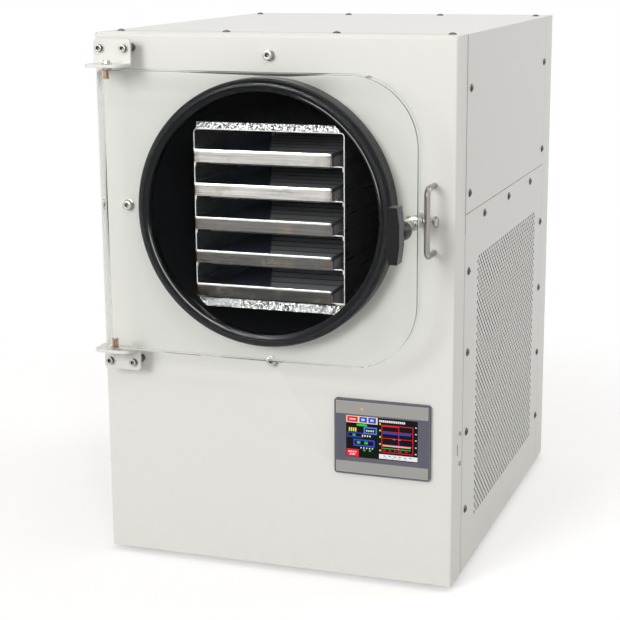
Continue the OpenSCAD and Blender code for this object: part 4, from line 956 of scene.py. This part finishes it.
class Picture:
    """Lit tiles on the display, placed as shares of its width and height."""

    wide, tall, layer_step = 0.102, 0.059, 0.00006

    def __init__(self):
        self.left = centre_of("screen_bezel").x - self.wide / 2
        self.top = centre_of("screen_panel").z + self.tall / 2
        self.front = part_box("screen_panel")[0].y
        self.colours = list(PICTURE_COLOURS)
        self.bm = bmesh.new()

    def tile(self, colour, u0, v0, u1, v1, layer=0):
        near = self.front - self.layer_step * (layer + 1)
        block(self.bm, (self.left + u0 * self.wide, near, self.top - v1 * self.tall),
              (self.left + u1 * self.wide, self.front, self.top - v0 * self.tall),
              self.colours.index(colour))

    def outline(self, colour, u0, v0, u1, v1, thin=0.012):
        tall = thin * self.wide / self.tall
        self.tile(colour, u0, v0, u1, v0 + tall)
        self.tile(colour, u0, v1 - tall, u1, v1)
        self.tile(colour, u0, v0 + tall, u0 + thin, v1 - tall)
        self.tile(colour, u1 - thin, v0 + tall, u1, v1 - tall)

    def marks(self, colour, u0, u1, v0, v1, count, share=0.6, layer=1):
        step = (u1 - u0) / count
        for index in range(count):
            start = u0 + index * step
            self.tile(colour, start, v0, start + share * step, v1, layer)


def display_picture():
    """A plain control page: buttons and readings left, a graph right."""
    page = Picture()
    page.tile("cream", 0.0, 0.0, 0.44, 0.17)
    page.tile("red", 0.015, 0.02, 0.163, 0.15, 1)
    for left in (0.184, 0.31):
        page.tile("blue", left, 0.02, left + 0.108, 0.15, 1)
        page.marks("white", left + 0.03, left + 0.08, 0.06, 0.11, 2, 0.7, 2)
    page.marks("white", 0.045, 0.135, 0.07, 0.10, 4, 0.7, 2)
    page.tile("green", 0.146, 0.19, 0.293, 0.24)
    page.marks("yellow", 0.036, 0.153, 0.29, 0.38, 4, 0.65)
    page.outline("sky", 0.245, 0.25, 0.43, 0.42, 0.018)
    page.marks("white", 0.28, 0.40, 0.32, 0.36, 4)
    page.outline("blue", 0.015, 0.40, 0.245, 0.52)
    page.tile("green", 0.09, 0.44, 0.13, 0.49, 1)
    page.marks("white", 0.22, 0.36, 0.45, 0.49, 4, 0.5)
    page.outline("blue", 0.10, 0.56, 0.40, 0.73, 0.02)
    page.marks("green", 0.15, 0.36, 0.61, 0.67, 2, 0.45)
    page.marks("white", 0.20, 0.40, 0.75, 0.78, 5, 0.4)
    page.marks("green", 0.24, 0.40, 0.80, 0.84, 2, 0.35)
    page.tile("red", 0.005, 0.81, 0.176, 0.99)
    page.marks("white", 0.03, 0.15, 0.86, 0.89, 4, 0.7)
    page.marks("white", 0.05, 0.13, 0.92, 0.95, 3, 0.7)
    page.marks("white", 0.462, 0.826, 0.05, 0.10, 14, 0.75)
    for level in (0.13, 0.285, 0.44, 0.61, 0.765):
        page.tile("yellow", 0.465, level, 0.485, level + 0.035)
        page.tile("white", 0.96, level + 0.02, 0.98, level + 0.045)
    for level in (0.31, 0.47, 0.63):
        page.tile("red", 0.495, level, 0.935, level + 0.012)
    page.tile("red", 0.495, 0.16, 0.73, 0.20)
    page.tile("red", 0.73, 0.16, 0.935, 0.175)
    page.tile("red", 0.495, 0.81, 0.935, 0.825)
    for across in (0.495, 0.73, 0.925):
        page.tile("red", across, 0.16, across + 0.008, 0.82)
    page.tile("blue", 0.51, 0.335, 0.90, 0.375, 1)
    page.marks("magenta", 0.65, 0.80, 0.475, 0.50, 2, 0.5)
    page.tile("lilac", 0.51, 0.64, 0.90, 0.66, 1)
    page.tile("orange", 0.51, 0.66, 0.90, 0.675, 1)
    page.tile("green", 0.51, 0.715, 0.90, 0.73, 1)
    page.marks("red", 0.52, 0.90, 0.76, 0.78, 5, 0.4)
    page.tile("white", 0.462, 0.87, 0.993, 0.98)
    page.marks("sky", 0.52, 0.95, 0.90, 0.92, 6, 0.5)
    page.marks("orange", 0.54, 0.90, 0.94, 0.96, 4, 0.4)
    finishes = [MATERIALS[f"lit_{key}"] for key in page.colours]
    finish_mesh(page.bm, "display_picture", finishes, "cabinet")


class DRYER_OT_screen(bpy.types.Operator):
    """Touch screen with its bezel, bands, picture and lamp"""

    bl_idname = "dryer.screen"
    bl_label = "Screen"

    def execute(self, context):
        softened("screen_frame", MATERIALS["bezel"], ["screen_bezel"],
                 context.scene.dryer_sizes.bezel_edge, 3, 40.0)
        screen_bands()
        display_picture()
        paint_node("screen_housing", MATERIALS["black"])
        paint_node("screen_panel", MATERIALS["glass"])
        paint_node("status_lamp", MATERIALS["lamp"])
        return {"FINISHED"}


class DRYER_OT_fasteners(bpy.types.Operator):
    """Screws of the panels, the flange and the data port"""

    bl_idname = "dryer.fasteners"
    bl_label = "Fasteners"

    def execute(self, context):
        # Painted light on the panel screws: upward faces take polished steel as a painted
        # highlight, the rest blackened steel as painted shade.
        def upper(bm):
            for face in bm.faces:
                if face.normal.z > HIGHLIGHT_UPWARDS:
                    face.material_index = 1
        softened("panel_screw_set", MATERIALS["oxide"], ["panel_screws"],
                 0.0, extra=(MATERIALS["bar"],), choose=upper)
        # Blackened steel in the flange screws' sockets is painted shade.
        softened("flange_screw_set", MATERIALS["zinc"], ["flange_screws"],
                 SCREW_EDGE, extra=(MATERIALS["oxide"],),
                 choose=paint_socket_shade(FLANGE_SOCKET))
        paint_node("port_screws", MATERIALS["zinc"])
        paint_node("data_port", MATERIALS["black"])
        return {"FINISHED"}


class DRYER_OT_machinery(bpy.types.Operator):
    """Refrigeration bay and the fittings at the back"""

    bl_idname = "dryer.machinery"
    bl_label = "Machinery"

    def execute(self, context):
        # The drain lever takes a display glow, so it glows blue though it is no lamp.
        finishes = {
            "compressor": "can", "condenser": "fins", "refrigerant_pipes": "copper",
            "fan_shroud": "pan", "fan_motor": "can", "fan_blades": "fan",
            "power_supply": "pan", "vacuum_port": "steel_y", "drain_valve": "bronze",
            "drain_lever": "lit_blue", "power_inlet": "black", "pump_outlet": "black",
            "switch_rocker": "black"}
        for node, finish in finishes.items():
            paint_node(node, MATERIALS[finish])
        return {"FINISHED"}


# ---------------------------------------------------------------- stage

WHITE = (1.0, 1.0, 1.0)
LAMPS = {  # place, and width and height
    "key": ((-2.0, -6.3, 2.7), (2.4, 2.4)), "top": ((0.2, 0.2, 3.4), (2.4, 2.4)),
    "side": ((2.8, 1.8, 2.0), (2.0, 2.0)), "fill": ((2.2, -5.0, 0.9), (2.6, 1.6)),
    "spark": ((1.4, -2.9, 3.0), (0.3, 0.3))}
LAMP_TARGET = Vector((0.0, 0.0, 0.4))


def area_lamp(name, place, size, power):
    lamp = bpy.data.lights.new(name, "AREA")
    lamp.shape, lamp.size, lamp.size_y = "RECTANGLE", *size
    lamp.energy = power
    obj = bpy.data.objects.new(name, lamp)
    obj.location = place
    aim = LAMP_TARGET - Vector(place)
    obj.rotation_euler = aim.to_track_quat("-Z", "Y").to_euler()
    bpy.context.scene.collection.objects.link(obj)


def seen_rays(graph):
    """1 for what the camera sees, also in metal and glass, and 0 for other light."""
    path = graph.add("ShaderNodeLightPath").outputs
    return graph.math("MAXIMUM", path["Is Camera Ray"], graph.math(
        "MAXIMUM", path["Is Glossy Ray"], path["Is Transmission Ray"]))


def studio_floor():
    """A pale floor that runs out into white, and throws little light back up."""
    bm = bmesh.new()
    bmesh.ops.create_grid(bm, x_segments=2, y_segments=2, size=9.0)
    mesh = bpy.data.meshes.new("studio_floor")
    bm.to_mesh(mesh)
    bm.free()
    floor = bpy.data.objects.new("studio_floor", mesh)
    bpy.context.scene.collection.objects.link(floor)

    def fill(graph, shader):
        seen, axes = seen_rays(graph), graph.axes()
        graph.dress(shader, Roughness=0.8, Specular_IOR_Level=0.1, Base_Color=graph.mix(
            seen, (0.38, 0.375, 0.37), (0.86, 0.845, 0.83)))
        lift = graph.add("ShaderNodeEmission", {
            "Color": WHITE, "Strength": graph.times(seen, 0.28)})
        near = graph.add("ShaderNodeAddShader", {0: shader.outputs[0], 1: lift.outputs[0]})
        far = graph.add("ShaderNodeEmission", {"Color": WHITE, "Strength": 1.0})
        away = graph.remap(graph.radius(axes["X"], axes["Y"]), 0.7, 1.3, smooth=True)
        return graph.blend(graph.times(away, seen), near, far)

    mesh.materials.append(surface("Studio floor", fill))


def studio_world(ambient):
    """White where it is seen, and dimmer where it lights the object."""
    world = bpy.data.worlds.new("Studio")
    bpy.context.scene.world = world
    world.use_nodes = True
    world.node_tree.nodes.clear()
    graph = Graph(world.node_tree)
    level = graph.remap(seen_rays(graph), 0.0, 1.0, ambient, 1.0)
    back = graph.add("ShaderNodeBackground", {"Color": WHITE, "Strength": level})
    graph.add("ShaderNodeOutputWorld", {"Surface": back.outputs[0]})


def camera(stage):
    data = bpy.data.cameras.new("camera")
    data.sensor_width, data.lens = 36.0, stage.lens
    data.clip_start, data.clip_end = 0.1, 60.0
    obj = bpy.data.objects.new("camera", data)
    bpy.context.scene.collection.objects.link(obj)
    azimuth, elevation, roll = stage.azimuth, stage.elevation, stage.roll
    ahead = Vector((-math.sin(azimuth) * math.cos(elevation),
                    math.cos(azimuth) * math.cos(elevation), -math.sin(elevation)))
    right = ahead.cross(Vector((0, 0, 1))).normalized()
    up = right.cross(ahead)
    tilted = math.cos(roll) * right + math.sin(roll) * up
    upright = -math.sin(roll) * right + math.cos(roll) * up
    turn = Matrix((tilted, upright, -ahead)).transposed()
    obj.matrix_world = Matrix.Translation(stage.place) @ turn.to_4x4()
    bpy.context.scene.camera = obj


class DRYER_OT_stage(bpy.types.Operator):
    """Floor, light and camera"""

    bl_idname = "dryer.stage"
    bl_label = "Stage"

    def execute(self, context):
        stage = context.scene.dryer_stage
        camera(stage)
        studio_floor()
        studio_world(stage.ambient)
        for key, (place, size) in LAMPS.items():
            area_lamp(f"{key}_lamp", place, size, getattr(stage, f"{key}_power"))
        context.scene.view_settings.view_transform = "Standard"
        return {"FINISHED"}


# ---------------------------------------------------------------- add-on


STEPS = ("cabinet", "chamber", "rack", "foil", "door", "latch", "screen", "fasteners",
         "machinery", "stage")


class DRYER_PT_panel(bpy.types.Panel):
    """Lists the freeze dryer's pieces"""

    bl_idname = "DRYER_PT_panel"
    bl_label = "Freeze Dryer"
    bl_space_type = "VIEW_3D"
    bl_region_type = "UI"
    bl_category = "Freeze Dryer"

    def draw(self, context):
        for step in STEPS:
            self.layout.operator(f"dryer.{step}")
        for group in (context.scene.dryer_sizes, context.scene.dryer_colours,
                      context.scene.dryer_stage):
            for key in group.__annotations__:
                self.layout.prop(group, key)


CLASSES = (
    SizeSettings, ColourSettings, StageSettings, DRYER_OT_cabinet, DRYER_OT_chamber,
    DRYER_OT_rack, DRYER_OT_foil, DRYER_OT_door, DRYER_OT_latch, DRYER_OT_screen,
    DRYER_OT_fasteners, DRYER_OT_machinery, DRYER_OT_stage, DRYER_PT_panel)


def register():
    for cls in CLASSES:
        bpy.utils.register_class(cls)
    scene = bpy.types.Scene
    scene.dryer_sizes = bpy.props.PointerProperty(type=SizeSettings)
    scene.dryer_colours = bpy.props.PointerProperty(type=ColourSettings)
    scene.dryer_stage = bpy.props.PointerProperty(type=StageSettings)


def unregister():
    for key in ("dryer_sizes", "dryer_colours", "dryer_stage"):
        delattr(bpy.types.Scene, key)
    for cls in reversed(CLASSES):
        bpy.utils.unregister_class(cls)


def main():
    """Builds every piece and the stage."""
    register()
    make_materials()
    for step in STEPS:
        getattr(bpy.ops.dryer, step)()


if __name__ == "__main__":
    main()
